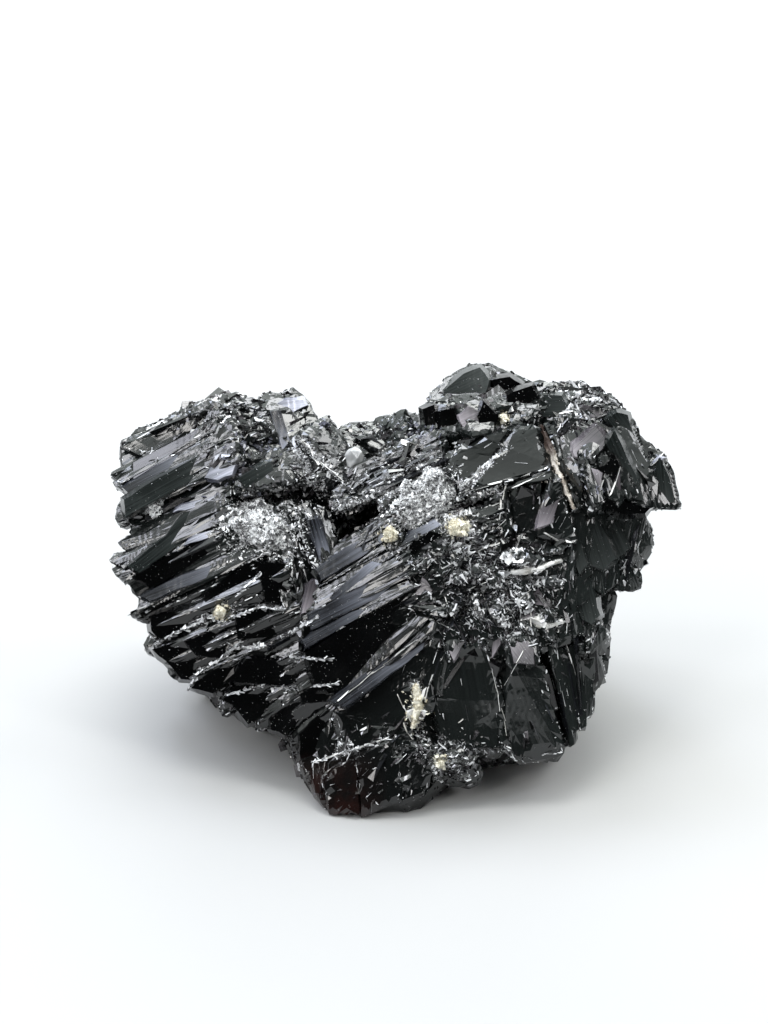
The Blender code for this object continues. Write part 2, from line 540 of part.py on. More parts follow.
def grain_points(name, centre, halves, turn, grow=0.0):
    """Crooked points round an ellipsoid. grow makes every half size that much larger."""
    rng = random.Random(f"{SEED} {name}")
    u, v, w = centre
    cosine, sine = math.cos(math.radians(turn)), math.sin(math.radians(turn))
    points = []
    count = 16
    for number in range(count):
        # A spiral from pole to pole spreads the directions evenly.
        rise = 1 - 2 * (number + 0.5) / count
        angle = number * math.pi * (3 - math.sqrt(5))
        ring = math.sqrt(1 - rise * rise)
        swell = rng.uniform(0.84, 1.06)
        a = (halves[0] * swell + grow) * ring * math.cos(angle)
        b = (halves[1] * swell + grow) * ring * math.sin(angle)
        c = (halves[2] * swell + grow) * rise
        points.append(on_face(u + a * cosine - b * sine, v + a * sine + b * cosine, w + c))
    return points


def ribbon_object(name, line, half_width, depth, grow=0.0, helper=False):
    """A thin seam: a five-sided section with a low ridge, carried along the line and tapered at both ends."""
    shape = bmesh.new()
    rings = []
    for number, (u, v, w) in enumerate(line):
        before = line[max(0, number - 1)]
        after = line[min(len(line) - 1, number + 1)]
        run = math.hypot(after[0] - before[0], after[1] - before[1])
        along = ((after[0] - before[0]) / run, (after[1] - before[1]) / run)
        at_end = number in (0, len(line) - 1)
        half = half_width * (0.45 if at_end else 1.0) + grow
        push = {0: -grow, len(line) - 1: grow}.get(number, 0.0)
        ring = []
        for across, rise in ((-1.0, -0.3), (0.1, 0.25 + grow), (1.0, -0.35), (0.8, -depth - grow),
                             (-0.8, -depth - grow)):
            place = (u - along[1] * across * half + along[0] * push,
                     v + along[0] * across * half + along[1] * push)
            ring.append(shape.verts.new(on_face(*place, w + rise)))
        rings.append(ring)
    for ring, after in zip(rings, rings[1:]):
        for corner in range(len(ring)):
            other = (corner + 1) % len(ring)
            shape.faces.new((ring[corner], ring[other], after[other], after[corner]))
    shape.faces.new(rings[0][::-1])
    shape.faces.new(rings[-1])
    bmesh.ops.recalc_face_normals(shape, faces=shape.faces)
    mesh = bpy.data.meshes.new(name)
    shape.to_mesh(mesh)
    shape.free()
    obj = bpy.data.objects.new(name, mesh)
    if helper:
        obj.hide_render = True
        obj.display_type = "WIRE"
    return obj


def inclusions(materials):
    """Every grain and seam as its own piece, and the slightly larger pockets to cut for them."""
    pieces, pockets = [], []
    for name, kind, centre, halves, turn in GRAINS:
        piece = hull_object(name, grain_points(name, centre, halves, turn), helper=False)
        pockets.append(hull_object(f"{name}_pocket", grain_points(name, centre, halves, turn, GAP)))
        pieces.append((piece, kind))
    for name, kind, half_width, depth, line in SEAMS:
        piece = ribbon_object(name, line, half_width, depth)
        pockets.append(ribbon_object(f"{name}_pocket", line, half_width, depth, GAP, helper=True))
        pieces.append((piece, kind))
    for piece, kind in pieces:
        piece.data.materials.append(materials[kind])
        bpy.context.scene.collection.objects.link(piece)
    return pockets


# ---------------------------------------------------------------- joining


def collect(name, objects):
    group = bpy.data.collections.new(name)
    group.hide_render = True
    bpy.context.scene.collection.children.link(group)
    for obj in objects:
        group.objects.link(obj)
    return group


def join_by(obj, label, operation, group):
    modifier = obj.modifiers.new(label, "BOOLEAN")
    modifier.operation = operation
    modifier.solver = "EXACT"
    modifier.operand_type = "COLLECTION"
    modifier.collection = group


def resting_cut():
    """A large box whose top is the resting plane, so that cutting it away leaves one flat break."""
    half, deep = 80 * MM, 40 * MM
    corners = [Vector((x, y, z)) for x in (-half, half) for y in (-half, half) for z in (-deep, 0.0)]
    return hull_object("resting_cut", corners)


def clear_scene():
    for obj in list(bpy.data.objects):
        bpy.data.objects.remove(obj, do_unlink=True)


def applied(obj):
    """The object's mesh with its modifiers applied, and the modifiers gone."""
    bpy.context.view_layer.update()
    graph = bpy.context.evaluated_depsgraph_get()
    mesh = bpy.data.meshes.new_from_object(obj.evaluated_get(graph))
    obj.modifiers.clear()
    obj.data = mesh
    return mesh


def islands_of(shape):
    """The faces of the mesh, as one list for each closed skin, smallest first."""
    unseen = set(shape.faces)
    islands = []
    while unseen:
        island = [unseen.pop()]
        for face in island:
            for edge in face.edges:
                for other in edge.link_faces:
                    if other in unseen:
                        unseen.discard(other)
                        island.append(other)
        islands.append(island)
    return sorted(islands, key=len)


def keep_outer_skin(mesh):
    """Fills the closed pockets that crystals leave inside the mass, and joins its flat faces up."""
    shape = bmesh.new()
    shape.from_mesh(mesh)
    for island in islands_of(shape)[:-1]:
        bmesh.ops.delete(shape, geom=island, context="FACES")
    bmesh.ops.dissolve_limit(shape, angle_limit=FLAT_WITHIN, verts=shape.verts, edges=shape.edges)
    shape.to_mesh(mesh)
    shape.free()


def main():
    clear_scene()
    black = make_material("cassiterite_black", (0.012, 0.013, 0.014), 0.22)
    pale = {
        QUARTZ: make_material("quartz_clear", (0.72, 0.73, 0.74), 0.3),
        CREAM: make_material("cream_mineral", (0.72, 0.66, 0.5), 0.55),
    }
    crystals = [
        *left_wing(), *peak_and_hollow(), *sheaf(), *saddle(), *top_lobe(), *dark_panels(), *right_block(),
        *right_columns(), *lower_faces(), *tip(), *crumbly_middle(), *hidden_sides(),
    ]
    lumps = core()
    mass = lumps.pop()
    mass.name = "cassiterite_mass"
    mass.hide_render = False
    mass.display_type = "TEXTURED"
    mass.data.materials.append(black)
    bpy.context.scene.collection.objects.link(mass)
    join_by(mass, "join crystals", "UNION", collect("crystals", [*lumps, *crystals]))
    join_by(mass, "cut pockets", "DIFFERENCE", collect("cutters", [resting_cut(), *inclusions(pale)]))
    keep_outer_skin(applied(mass))


main()
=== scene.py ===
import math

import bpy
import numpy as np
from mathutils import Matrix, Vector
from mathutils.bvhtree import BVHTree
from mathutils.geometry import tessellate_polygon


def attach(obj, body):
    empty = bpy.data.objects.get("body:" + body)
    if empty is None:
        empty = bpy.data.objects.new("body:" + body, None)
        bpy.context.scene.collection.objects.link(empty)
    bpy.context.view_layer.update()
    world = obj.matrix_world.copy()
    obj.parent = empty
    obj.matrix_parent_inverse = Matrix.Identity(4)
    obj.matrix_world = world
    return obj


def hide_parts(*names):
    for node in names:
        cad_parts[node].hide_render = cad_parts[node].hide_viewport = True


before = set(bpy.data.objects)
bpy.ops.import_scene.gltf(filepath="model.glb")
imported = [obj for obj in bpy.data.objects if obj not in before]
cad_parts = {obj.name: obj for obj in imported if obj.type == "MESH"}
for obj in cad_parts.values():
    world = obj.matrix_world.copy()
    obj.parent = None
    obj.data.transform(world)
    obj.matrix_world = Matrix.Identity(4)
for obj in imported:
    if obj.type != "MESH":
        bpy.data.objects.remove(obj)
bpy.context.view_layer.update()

# %% [markdown]
# # A cassiterite specimen
#
# The specimen is one lump of black tin ore. It grew as a pile of slats and wedges, all locked together,
# and it broke into thousands of small bright faces. A few grains of clear quartz and of a cream mineral
# sit in it.
#
# The solid model gives the big forms. This script adds what the eye sees from near: the fine steps along each
# slat, the crumbled zones, the crushed bright rims, the sugary crusts and the finishes.

MM = 0.001

# %% [markdown]
# ## Places on the display face
#
# Most of the detail belongs to the broad side that leans back. It is easier to say where a thing is on that
# face than in the room: u runs to the right, v up the face, and w straight out of it, all in millimetres. Two
# short functions turn one into the other, for whole arrays at a time.

# %% The display face
LEAN = math.radians(35)
FACE_AXES = np.array([
    [1.0, 0.0, 0.0],
    [0.0, math.sin(LEAN), math.cos(LEAN)],
    [0.0, -math.cos(LEAN), math.sin(LEAN)],
])
FACE_OUT = FACE_AXES[2]
LOWEST_TIP = np.array([44.25, 0.5, 0.0])
FACE_ORIGIN = np.array([0.0, -30.0, 0.0]) - LOWEST_TIP @ FACE_AXES


def to_part(face_points):
    """Places on the display face, in millimetres, as places in the part's own frame."""
    return np.asarray(face_points, float) @ FACE_AXES + FACE_ORIGIN


def to_face(points):
    """Places in the part's own frame, in millimetres, as u, v and w on the display face."""
    return (np.asarray(points, float) - FACE_ORIGIN) @ FACE_AXES.T


print("the face looks", round(math.degrees(LEAN)), "degrees above the horizon")

# %% [markdown]
# ## Repeatable chance
#
# Stone looks natural because nothing in it repeats. The chance here has to give the same stone each time, so
# it comes from whole numbers: a cell's own number is stirred until it looks random. Smooth noise blends the
# random values at the eight corners of a cell. Broken facets give each cell a tilted plane, and the highest
# plane wins, which leaves flat faces that meet in sharp ridges, as real breaks do.


# %% Dice, clouds and broken facets
def dice(*keys, salt=0):
    """Random numbers from 0 to 1, the same each time for the same whole-number keys."""
    mixed = np.zeros(np.broadcast(*keys).shape, np.uint64) + np.uint64(salt * 7919 + 97)
    for key in keys:
        mixed = mixed ^ (np.asarray(key).astype(np.int64).astype(np.uint64) * np.uint64(0x9E3779B97F4A7C15))
        mixed = (mixed ^ (mixed >> np.uint64(31))) * np.uint64(0xBF58476D1CE4E5B9)
        mixed = mixed ^ (mixed >> np.uint64(29))
    return (mixed >> np.uint64(40)).astype(float) / 2.0**24


CUBE = np.array([[i, j, k] for i in (0, 1) for j in (0, 1) for k in (0, 1)])
NEIGHBOURS = np.array([[i, j, k] for i in (-1, 0, 1) for j in (-1, 0, 1) for k in (-1, 0, 1)])
TURNED = np.linalg.qr(np.array([[1.0, 0.7, 0.2], [-0.5, 1.0, 0.6], [0.3, -0.8, 1.0]]))[0]


def cloud(points, size, salt=0):
    """Smooth noise from -1 to 1: the random values at a cell's eight corners, blended by an S-curve."""
    place = np.asarray(points, float) / size
    cell = np.floor(place)
    part = place - cell
    part = part * part * (3 - 2 * part)
    total = np.zeros(len(place))
    for corner in CUBE:
        share = np.prod(np.where(corner == 1, part, 1 - part), axis=1)
        total += share * dice(*(cell + corner).T, salt=salt)
    return 2 * total - 1


def broken(points, size, steep=0.9, salt=0):
    """Heights of broken facets: each cell has a plane with its own tilt that drops away in a pyramid, and the
    highest one wins."""
    place = (np.asarray(points, float) @ TURNED) / size
    cell = np.floor(place)
    best = np.full(len(place), -9.0)
    for step in NEIGHBOURS:
        key = (cell + step).T
        seed = np.stack([dice(*key, salt=salt + i) for i in (1, 2, 3)], 1)
        tilt = np.stack([dice(*key, salt=salt + i) for i in (4, 5, 6)], 1) - 0.5
        away = place - (cell + step) - seed
        top = 0.5 * dice(*key, salt=salt + 7)
        best = np.maximum(best, top + steep * 2 * (away * tilt).sum(1) - 1.2 * np.abs(away).max(1))
    return best


def unit(vectors):
    """The same directions, each of length 1."""
    return vectors / np.maximum(np.linalg.norm(vectors, axis=-1, keepdims=True), 1e-12)


def laid_down(vectors, out):
    """The vectors less what each has along its own way out, so that they lie in the face."""
    return vectors - (vectors * out).sum(1)[:, None] * out


print("dice:", dice([1, 2, 3], [4, 4, 4]).round(3))

# %% [markdown]
# ## A map of the habits
#
# The ore doesn't look the same all over. The left wing is slates that rise to the right, the sheaf in the
# middle is long smooth blades, the right side hangs in steep columns, and between them the ore is crumbled.
# The map lists those zones: where each is, how far it reaches, which way its grain runs, and how much of each
# habit it shows. A point takes its habits from the zones near it, weighted by distance, and its grain from
# the nearest one alone.

# %% Zones of the display face
# name: (u, v, half width, half height, grain in degrees, slats, hackle, crumbs, haze, which is a painted
# sheen)
ZONES = {
    "wing_upper": (12.0, 52.5, 11, 6, 29, 1.0, 0.0, 0.10, 0.7),
    "wing_middle": (15.0, 40.5, 12, 6, 26, 1.0, 0.0, 0.05, 0.6),
    "wing_low": (15.0, 30.0, 11, 5, 32, 0.9, 0.1, 0.08, 0),
    "steps": (25.5, 21.0, 9, 7, 38, 0.9, 0.3, 0.14, 0),
    "crinkle": (22.5, 53.3, 8, 5, 20, 0.3, 0.9, 0.45, 0.2),
    "left_rim": (17.0, 61.5, 10, 2.5, 25, 0.3, 1.0, 0.50, 0.5),
    "peak": (28.5, 62.0, 4, 4, 50, 0.2, 0.4, 0.30, 0.6),
    "hanging": (31.5, 39.8, 3.5, 7, 115, 0.9, 0.1, 0.15, 0.1),
    "hollow": (36.0, 44.5, 4, 3, 60, 0.2, 0.6, 0.40, 0),
    "sheaf": (42.0, 34.5, 9, 7, 33, 1.0, 0.0, 0.05, 0.1),
    "black_face": (37.5, 25.5, 7, 6, 35, 0.1, 0.1, 0.03, 0),
    "ridge": (42.0, 23.5, 8, 2, 38, 0.9, 0.0, 0.08, 0.2),
    "streaks": (40.5, 51.0, 11, 4, 25, 1.0, 0.2, 0.40, 0.4),
    "saddle": (40.5, 57.8, 6, 3, 10, 0.2, 0.5, 0.40, 0.9),
    "top_lobe": (58.5, 62.0, 9, 5, 20, 0.0, 0.9, 0.16, 0.6),
    "flat_panel": (61.5, 54.0, 6, 3.6, 30, 0.1, 0.0, 0.03, 0.1),
    "dark_panels": (64.5, 45.8, 6, 5, 60, 0.3, 0.3, 0.15, 0.3),
    "right_block": (76.5, 55.5, 7, 7, -60, 0.1, 1.0, 0.08, 0.4),
    "right_rim": (73.5, 62.0, 9, 3, 15, 0.1, 0.9, 0.95, 0.9),
    "columns": (75.8, 40.5, 6, 9, -68, 1.0, 0.2, 0.25, 1),
    "low_columns": (71.3, 30.0, 4, 6, -75, 1.0, 0.1, 0.20, 0.9),
    "skirt": (70.5, 18.0, 4, 6, -75, 0.7, 0.0, 0.05, 0.9),
    "dark_face_a": (57.0, 19.5, 5, 6, -82, 0.1, 0.0, 0.02, 0.6),
    "dark_face_b": (65.5, 18.0, 4, 6, -78, 0.2, 0.0, 0.02, 0.6),
    "middle_upper": (56.0, 39.0, 10, 4.5, 35, 0.3, 0.8, 1.00, 0.8),
    "middle_lower": (61.0, 31.0, 9, 4, -60, 0.3, 0.8, 1.00, 0.8),
    "tip": (40.5, 6.0, 8, 5, 60, 0.2, 0.3, 0.12, 0.2),
    "low_rim": (53.0, 9.5, 7, 2.5, 20, 0.1, 0.8, 0.80, 0.4),
}
ZONE_PLACES = np.array([[z[0], z[1]] for z in ZONES.values()])
ZONE_SIZES = np.array([[z[2], z[3]] for z in ZONES.values()])
ZONE_GRAINS = np.radians([z[4] for z in ZONES.values()])
ZONE_HABITS = np.array([z[5:] for z in ZONES.values()])
HIDDEN_HABITS = np.array([0.35, 0.8, 0.22, 0.4])  # the same four where no zone reaches
ZONE_FALL = 1.4  # how fast a zone fades past its half width and height
RULES_ABOVE = 0.04  # a zone that is fainter than this lends no grain
GRAIN_VECTORS = np.stack([np.cos(ZONE_GRAINS), np.sin(ZONE_GRAINS), 0 * ZONE_GRAINS], 1) @ FACE_AXES


def habits(points, normals):
    """How much slat, hackle, crumb and painted shine each place shows, from 0 to 1, and the zone that rules
    it, or -1 if hidden."""
    face = to_face(points)
    apart = (face[:, None, :2] - ZONE_PLACES) / ZONE_SIZES
    near = np.exp(-ZONE_FALL * (apart**2).sum(2))
    shown = np.clip(1.3 + 2.5 * (normals @ FACE_OUT), 0, 1) * np.clip(1.6 + face[:, 2] / 10, 0, 1)
    near = near * shown[:, None]
    hidden = 0.05 + (1 - shown)
    total = near.sum(1) + hidden
    mixed = (near @ ZONE_HABITS + hidden[:, None] * HIDDEN_HABITS) / total[:, None]
    ruler = np.where(near.max(1) > RULES_ABOVE, near.argmax(1), -1)
    return mixed, ruler


print(len(ZONES), "zones")

# %% [markdown]
# ## Reading the solid, and its flat facets
#
# The solid's mesh comes as loose triangles, so a copy is merged first. Triangles that lie in one plane are
# one crystal face. A slat's face is long and thin, and its long direction is the way that its fine steps run.
# So each face gets a frame of its own: its grain along the face, the way across, and the way out.


# %% Merging and grouping
def merged_arrays(obj):
    """The object's points in millimetres and its triangles, with points at the same place made one."""
    mesh = obj.data
    mesh.calc_loop_triangles()
    points = np.empty(len(mesh.vertices) * 3, np.float32)
    mesh.vertices.foreach_get("co", points)
    faces = np.empty(len(mesh.loop_triangles) * 3, np.int32)
    mesh.loop_triangles.foreach_get("vertices", faces)
    points, index = np.unique(points.reshape(-1, 3), axis=0, return_inverse=True)
    faces = index.reshape(-1)[faces].reshape(-1, 3)
    kept = (faces[:, 0] != faces[:, 1]) & (faces[:, 1] != faces[:, 2]) & (faces[:, 0] != faces[:, 2])
    return points.astype(float) / MM, faces[kept]


def face_normals(points, faces):
    """Each triangle's outward direction and its area."""
    corners = points[faces]
    cross = np.cross(corners[:, 1] - corners[:, 0], corners[:, 2] - corners[:, 0])
    return unit(cross), np.linalg.norm(cross, axis=1) / 2


def edge_numbers(faces):
    """Each triangle's three edges as numbers into one list, and that list as pairs of points."""
    ends = np.stack([faces, np.roll(faces, -1, axis=1)], 2)
    ends = np.sort(ends, axis=2).reshape(-1, 2).astype(np.int64)
    keys, index = np.unique(ends[:, 0] * (faces.max() + 1) + ends[:, 1], return_inverse=True)
    pairs = np.stack([keys // (faces.max() + 1), keys % (faces.max() + 1)], 1)
    return index.reshape(-1, 3), pairs


def neighbours(faces):
    """The two triangles that meet at each shared edge, and the edge's two points."""
    index, pairs = edge_numbers(faces)
    order = np.argsort(index.ravel(), kind="stable")
    owners, edge = order // 3, index.ravel()[order]
    same = np.nonzero(edge[1:] == edge[:-1])[0]
    return owners[same], owners[same + 1], pairs[edge[same]]


def flat_groups(points, faces, within=math.radians(1.5)):
    """A number for each triangle, alike for triangles that touch and lie in one plane. The lowest number
    spreads across each flat edge until nothing changes."""
    normals, _ = face_normals(points, faces)
    left, right, _ = neighbours(faces)
    flat = (normals[left] * normals[right]).sum(1) > math.cos(within)
    left, right = left[flat], right[flat]
    label = np.arange(len(faces))
    changed = True
    while changed:
        low = np.minimum(label[left], label[right])
        changed = ((low < label[left]) | (low < label[right])).any()
        np.minimum.at(label, left, low)
        np.minimum.at(label, right, low)
    return np.unique(label, return_inverse=True)[1].reshape(-1)


ORE_POINTS, ORE_FACES = merged_arrays(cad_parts["cassiterite_mass"])
ORE_GROUPS = flat_groups(ORE_POINTS, ORE_FACES)
print(len(ORE_FACES), "triangles in", ORE_GROUPS.max() + 1, "flat faces")


# %% A frame for each flat face
SLIM, VERY_SLIM = 2.0, 3.5  # how many times longer than wide a face is that keeps its own long direction
ALIKE = 0.75  # how well that direction has to agree with the zone's grain if the face is only slim
STEEP = 0.35  # a zone's grain that stands this near to the way out can't be laid down


def facet_frames(points, faces, groups):
    """For each flat face: its grain, the way across it, the way out, and its area.

    The spread of a face's corners about their middle, weighted by area, gives its long direction. A face that
    isn't long takes the grain of its zone instead, laid down onto the face."""
    normals, areas = face_normals(points, faces)
    centres = points[faces].mean(1)
    total = np.bincount(groups, areas)
    out = unit(np.stack([np.bincount(groups, areas * n) for n in normals.T], 1))
    middle = np.stack([np.bincount(groups, areas * c) for c in centres.T], 1) / total[:, None]
    spread = np.zeros((len(total), 3, 3))
    for k in range(3):
        offset = points[faces[:, k]] - middle[groups]
        outer = offset[:, :, None] * offset[:, None, :] * areas[:, None, None]
        np.add.at(spread, groups, outer)
    values, vectors = np.linalg.eigh(spread / total[:, None, None])
    longest = vectors[:, :, 2]
    slim = np.sqrt(values[:, 2] / np.maximum(values[:, 1], 1e-9))
    _, ruler = habits(middle, out)
    zone_grain = np.where(ruler[:, None] >= 0, GRAIN_VECTORS[np.maximum(ruler, 0)], longest)
    laid = laid_down(zone_grain, out)
    steep = np.linalg.norm(laid, axis=1) < STEEP
    laid = np.where(steep[:, None], longest, unit(laid))
    alike = np.abs((longest * laid).sum(1))
    own = (slim > SLIM) & (alike > ALIKE) | (slim > VERY_SLIM)
    grain = unit(laid_down(np.where(own[:, None], longest, laid), out))
    return grain, np.cross(out, grain), out, total


FACET_GRAIN, FACET_SIDE, FACET_OUT, FACET_AREA = facet_frames(ORE_POINTS, ORE_FACES, ORE_GROUPS)
print("largest flat faces, mm2:", np.sort(FACET_AREA)[-5:].round(0))

# %% [markdown]
# ## The skin
#
# The skin needs small triangles only where something happens. Along a slat nothing changes for millimetres,
# but across it the fine steps are a quarter of a millimetre apart. So an edge is measured with two rulers,
# a long one along the grain and a short one across it, and each edge that is too long by its own ruler is
# split in two. The new triangles come out long and thin and lie along the grain, which gives crisp lines
# for few triangles.
#
# A subdivision modifier would split everything alike and spend ten times as many.


# %% Cutting edges in two
def halved(points, faces, index, pairs, length, limit):
    """Cuts each edge whose length is over the limit at its middle. A triangle that is cut at all is also cut
    at its longest edge, first from there to the corner opposite, so no gap opens and no triangle gets ever
    thinner. index and pairs are what edge_numbers gives, and length has a row for each triangle. Returns the
    points, the triangles and each triangle's old number."""
    marked = np.zeros(len(pairs), bool)
    marked[index[length > limit]] = True
    first = length.argmax(1)
    need = np.ones(len(faces), bool)
    while need.any():
        hit = marked[index]
        need = hit.any(1) & ~np.take_along_axis(hit, first[:, None], 1)[:, 0]
        marked[index[need, first[need]]] = True
    turn = (first[:, None] + np.arange(3)) % 3
    middle = np.cumsum(marked) - 1 + len(points)
    v0, v1, v2 = np.take_along_axis(faces, turn, 1).T
    h0, h1, h2 = np.take_along_axis(marked[index], turn, 1).T
    m0, m1, m2 = np.take_along_axis(middle[index], turn, 1).T
    made = [
        (~h0, (v0, v1, v2)), (h0 & ~h2, (v0, m0, v2)), (h0 & ~h1, (m0, v1, v2)),
        (h0 & h1, (m0, v1, m1)), (h0 & h1, (m0, m1, v2)),
        (h0 & h2, (v0, m0, m2)), (h0 & h2, (m0, v2, m2)),
    ]
    points = np.vstack([points, points[pairs[marked]].mean(1)])
    old = np.concatenate([np.nonzero(use)[0] for use, _ in made])
    return points, np.vstack([np.stack(corner, 1)[use] for use, corner in made]), old


print("the solid's edges:", len(edge_numbers(ORE_FACES)[1]))

# %% Splitting by two rulers
FINEST, PLAIN_MORE, BACK_MORE = 0.30, 0.35, 0.30  # across the grain: at least, and more if plain or behind
SHORTEST_RUN, SLAT_RUN = 1.3, 5.5  # along the grain, in widths: at least, and more along a slat
BASE_ALONG, BASE_ACROSS = 4.0, 2.0  # on the flat base


def rulers(points, faces):
    """The longest edge allowed along and across the grain of each triangle, in millimetres."""
    normals, _ = face_normals(points, faces)
    mix, _ = habits(points[faces].mean(1), normals)
    slats, hackle, crumbs, _ = mix.T
    rough = np.clip(hackle + crumbs, 0, 1)
    back = np.clip(0.6 - 1.2 * (normals @ FACE_OUT), 0, 1)
    base = (points[faces].mean(1)[:, 2] < 0.3) & (normals[:, 2] < -0.9)
    across = FINEST + PLAIN_MORE * (1 - np.maximum(slats, rough)) + BACK_MORE * back
    along = across * (SHORTEST_RUN + SLAT_RUN * slats * (1 - rough))
    return np.where(base, BASE_ALONG, along), np.where(base, BASE_ACROSS, across)


def split_once(points, faces, groups, limit):
    """Cuts each edge that its rulers find longer than the limit. The last value says whether any was."""
    along, across = rulers(points, faces)
    corners = points[faces]
    edges = np.roll(corners, -1, axis=1) - corners
    grain, side = FACET_GRAIN[groups][:, None], FACET_SIDE[groups][:, None]
    length = np.hypot((edges * grain).sum(2) / along[:, None], (edges * side).sum(2) / across[:, None])
    index, pairs = edge_numbers(faces)
    longest_use = np.zeros(len(pairs))
    np.maximum.at(longest_use, index.ravel(), length.ravel())
    if (longest_use <= limit).all():
        return points, faces, groups, False
    points, faces, old = halved(points, faces, index, pairs, longest_use[index], limit)
    return points, faces, groups[old], True


LIMITS = (24, 12, 6, 3, 2, 1.5, 1.2, 1.0, 0.9, 0.8, 0.7)


def refined(points, faces, groups, most):
    """Splits with a limit that comes down from coarse to fine, so that the triangles run out evenly."""
    for limit in LIMITS:
        going = True
        while going:
            kept = points, faces, groups
            points, faces, groups, going = split_once(points, faces, groups, limit)
            if len(faces) > most:
                return (*kept, limit)
    return points, faces, groups, limit


MOST_SKIN = 172000
SKIN_POINTS, SKIN_FACES, SKIN_GROUPS, reached = refined(ORE_POINTS, ORE_FACES, ORE_GROUPS, MOST_SKIN)
print("skin:", len(SKIN_FACES), "triangles, split down to", reached, "of the rulers")

# %% [markdown]
# ## Steps, breaks and chipped edges
#
# Each point of the skin now moves in or out a little. Along slats the height is a run of small terraces: the
# way across is cut into strips of uneven width, and each strip has its own height and lean. In rough places
# the height comes from the broken facets above. A point on a sharp edge belongs to two or more faces, so it
# takes the mean of their moves, and is then pushed inwards here and there, which chips the edge.
#
# Behind and below, a lump like this one ends where it was torn from the rock, in a few large breaks that run
# through all its crystals alike. Each break is a plane: whatever stands past it is moved straight back onto
# it. This keeps the number of triangles, which a boolean cut would not.


# %% Heights
def terraces(along, across, group, width, length, salt):
    """Heights of uneven strips that run along the grain. Strip borders wander, and each strip breaks now and
    then along its length. A strip's height is its own level plus its own lean times the way across it."""
    wander = (0.35 * np.sin(along / (4.1 * length) * 6.28 + group * 1.7)
              + 0.2 * np.sin(along / length + group))
    row = across / width + wander + 0.4 * np.sin(across / width * 0.9 + group)
    strip = np.floor(row)
    break_at = np.floor(along / length + 7.0 * dice(strip, group, salt=salt))
    level = dice(strip, group, break_at, salt=salt + 1) - 0.5
    lean = dice(strip, group, break_at, salt=salt + 2) - 0.5
    return level + 1.1 * lean * (row - strip - 0.5)


BROAD_STEP, FINE_STEP = 0.12, 0.02
COARSE_BREAK, FINE_BREAK, LARGE_BREAK = 0.55, 0.40, 1.6
SWELL = 0.06


def skin_heights(points, groups, mix):
    """How far each corner of the skin moves out of its flat face, in millimetres: terraces of two widths
    where slats rule, coarse broken facets where hackle rules, finer ones where crumbs rule, large ones
    behind, and a slow swell everywhere."""
    along = (points * FACET_GRAIN[groups]).sum(1)
    across = (points * FACET_SIDE[groups]).sum(1)
    slats, hackle, crumbs, _ = mix.T
    stepped = (BROAD_STEP * terraces(along, across, groups, 3.6, 20.0, 11)
               + FINE_STEP * terraces(along, across, groups, 0.9, 11.0, 23))
    coarse = COARSE_BREAK * broken(points, 4.6, 0.9, 31)
    finer = FINE_BREAK * broken(points, 2.0, 0.9, 41)
    swell = SWELL * cloud(points, 5.0, 5)
    behind = np.clip(0.2 - FACET_OUT[groups] @ FACE_OUT, 0, 1)
    large = LARGE_BREAK * behind * (broken(points, 9.0, 0.9, 51) + 0.35)
    return slats * stepped + 0.8 * hackle * (coarse + 0.35) + 0.7 * crumbs * (finer + 0.25) + swell + large


print("steps on the slats are about", BROAD_STEP, "and", FINE_STEP, "mm high")

# %% Large breaks behind, and the skin's own places
# how many degrees round from straight behind and how many degrees up each break faces, and how deep it cuts
BREAKS = ((0, 10, 2.0), (-33, 3, 4.5), (40, -3, 5.0), (8, -8, 2.5),
          (-12, -30, 5.0), (22, -36, 5.5), (-46, -36, 5.0), (48, -30, 5.0))
CHIP_DEPTH = 0.55  # how far the most worn edge is pushed in
SHARP_AT = 0.25  # how much shorter than 1 the mean of the ways out is at a sharp edge


def broken_off(points):
    """The points with all that stands past a break moved straight back onto it. Each break is a plane behind
    the specimen, set in by its depth from the farthest point that way."""
    for turn, rise, depth in BREAKS:
        turn, rise = math.radians(turn), math.radians(rise)
        way = np.array([math.sin(turn) * math.cos(rise), math.cos(turn) * math.cos(rise), math.sin(rise)])
        reach = points @ way
        points = points - np.maximum(reach - reach.max() + depth, 0)[:, None] * way
    return points


def displaced(points, faces, groups):
    """The skin's points after each has moved along its faces' outward directions by the mean of their
    heights, with the habits and the wear of each point."""
    points = broken_off(points)
    pair = np.unique(np.stack([faces.ravel(), np.repeat(groups, 3)], 1), axis=0)
    which, facet = pair.T
    count = np.bincount(which, minlength=len(points))
    ways = FACET_OUT[facet]
    out = np.stack([np.bincount(which, way, len(points)) for way in ways.T], 1) / count[:, None]
    mix, _ = habits(points, unit(out))
    height = skin_heights(points[which], facet, mix[which])
    move = np.stack([np.bincount(which, height * way, len(points)) for way in ways.T], 1)
    sharp = np.clip((1 - np.linalg.norm(out, axis=1)) / SHARP_AT, 0, 1)
    worn = sharp * np.clip(cloud(points, 0.9, 71) + 0.45 * cloud(points, 0.35, 72) + 0.1, 0, 1)
    moved = points + move / count[:, None] - unit(out) * CHIP_DEPTH * worn[:, None]
    moved[:, 2] = np.where(points[:, 2] < 0.02, points[:, 2], np.maximum(moved[:, 2], 0.0))
    return moved, mix, worn


SKIN_PLACED, SKIN_MIX, SKIN_WORN = displaced(SKIN_POINTS, SKIN_FACES, SKIN_GROUPS)
print("largest move, mm:", round(float(np.abs(SKIN_PLACED - SKIN_POINTS).max()), 2))

# %% [markdown]
# ## Putting arrays into a mesh
#
# One function makes every piece: it fills a mesh from whole arrays, rides it on the body and gives it its
# material. A piece may carry a map along its grain, so that its finest lines follow each crystal, and a few
# numbers per point.


# %% The maker of pieces
MATERIALS = {}


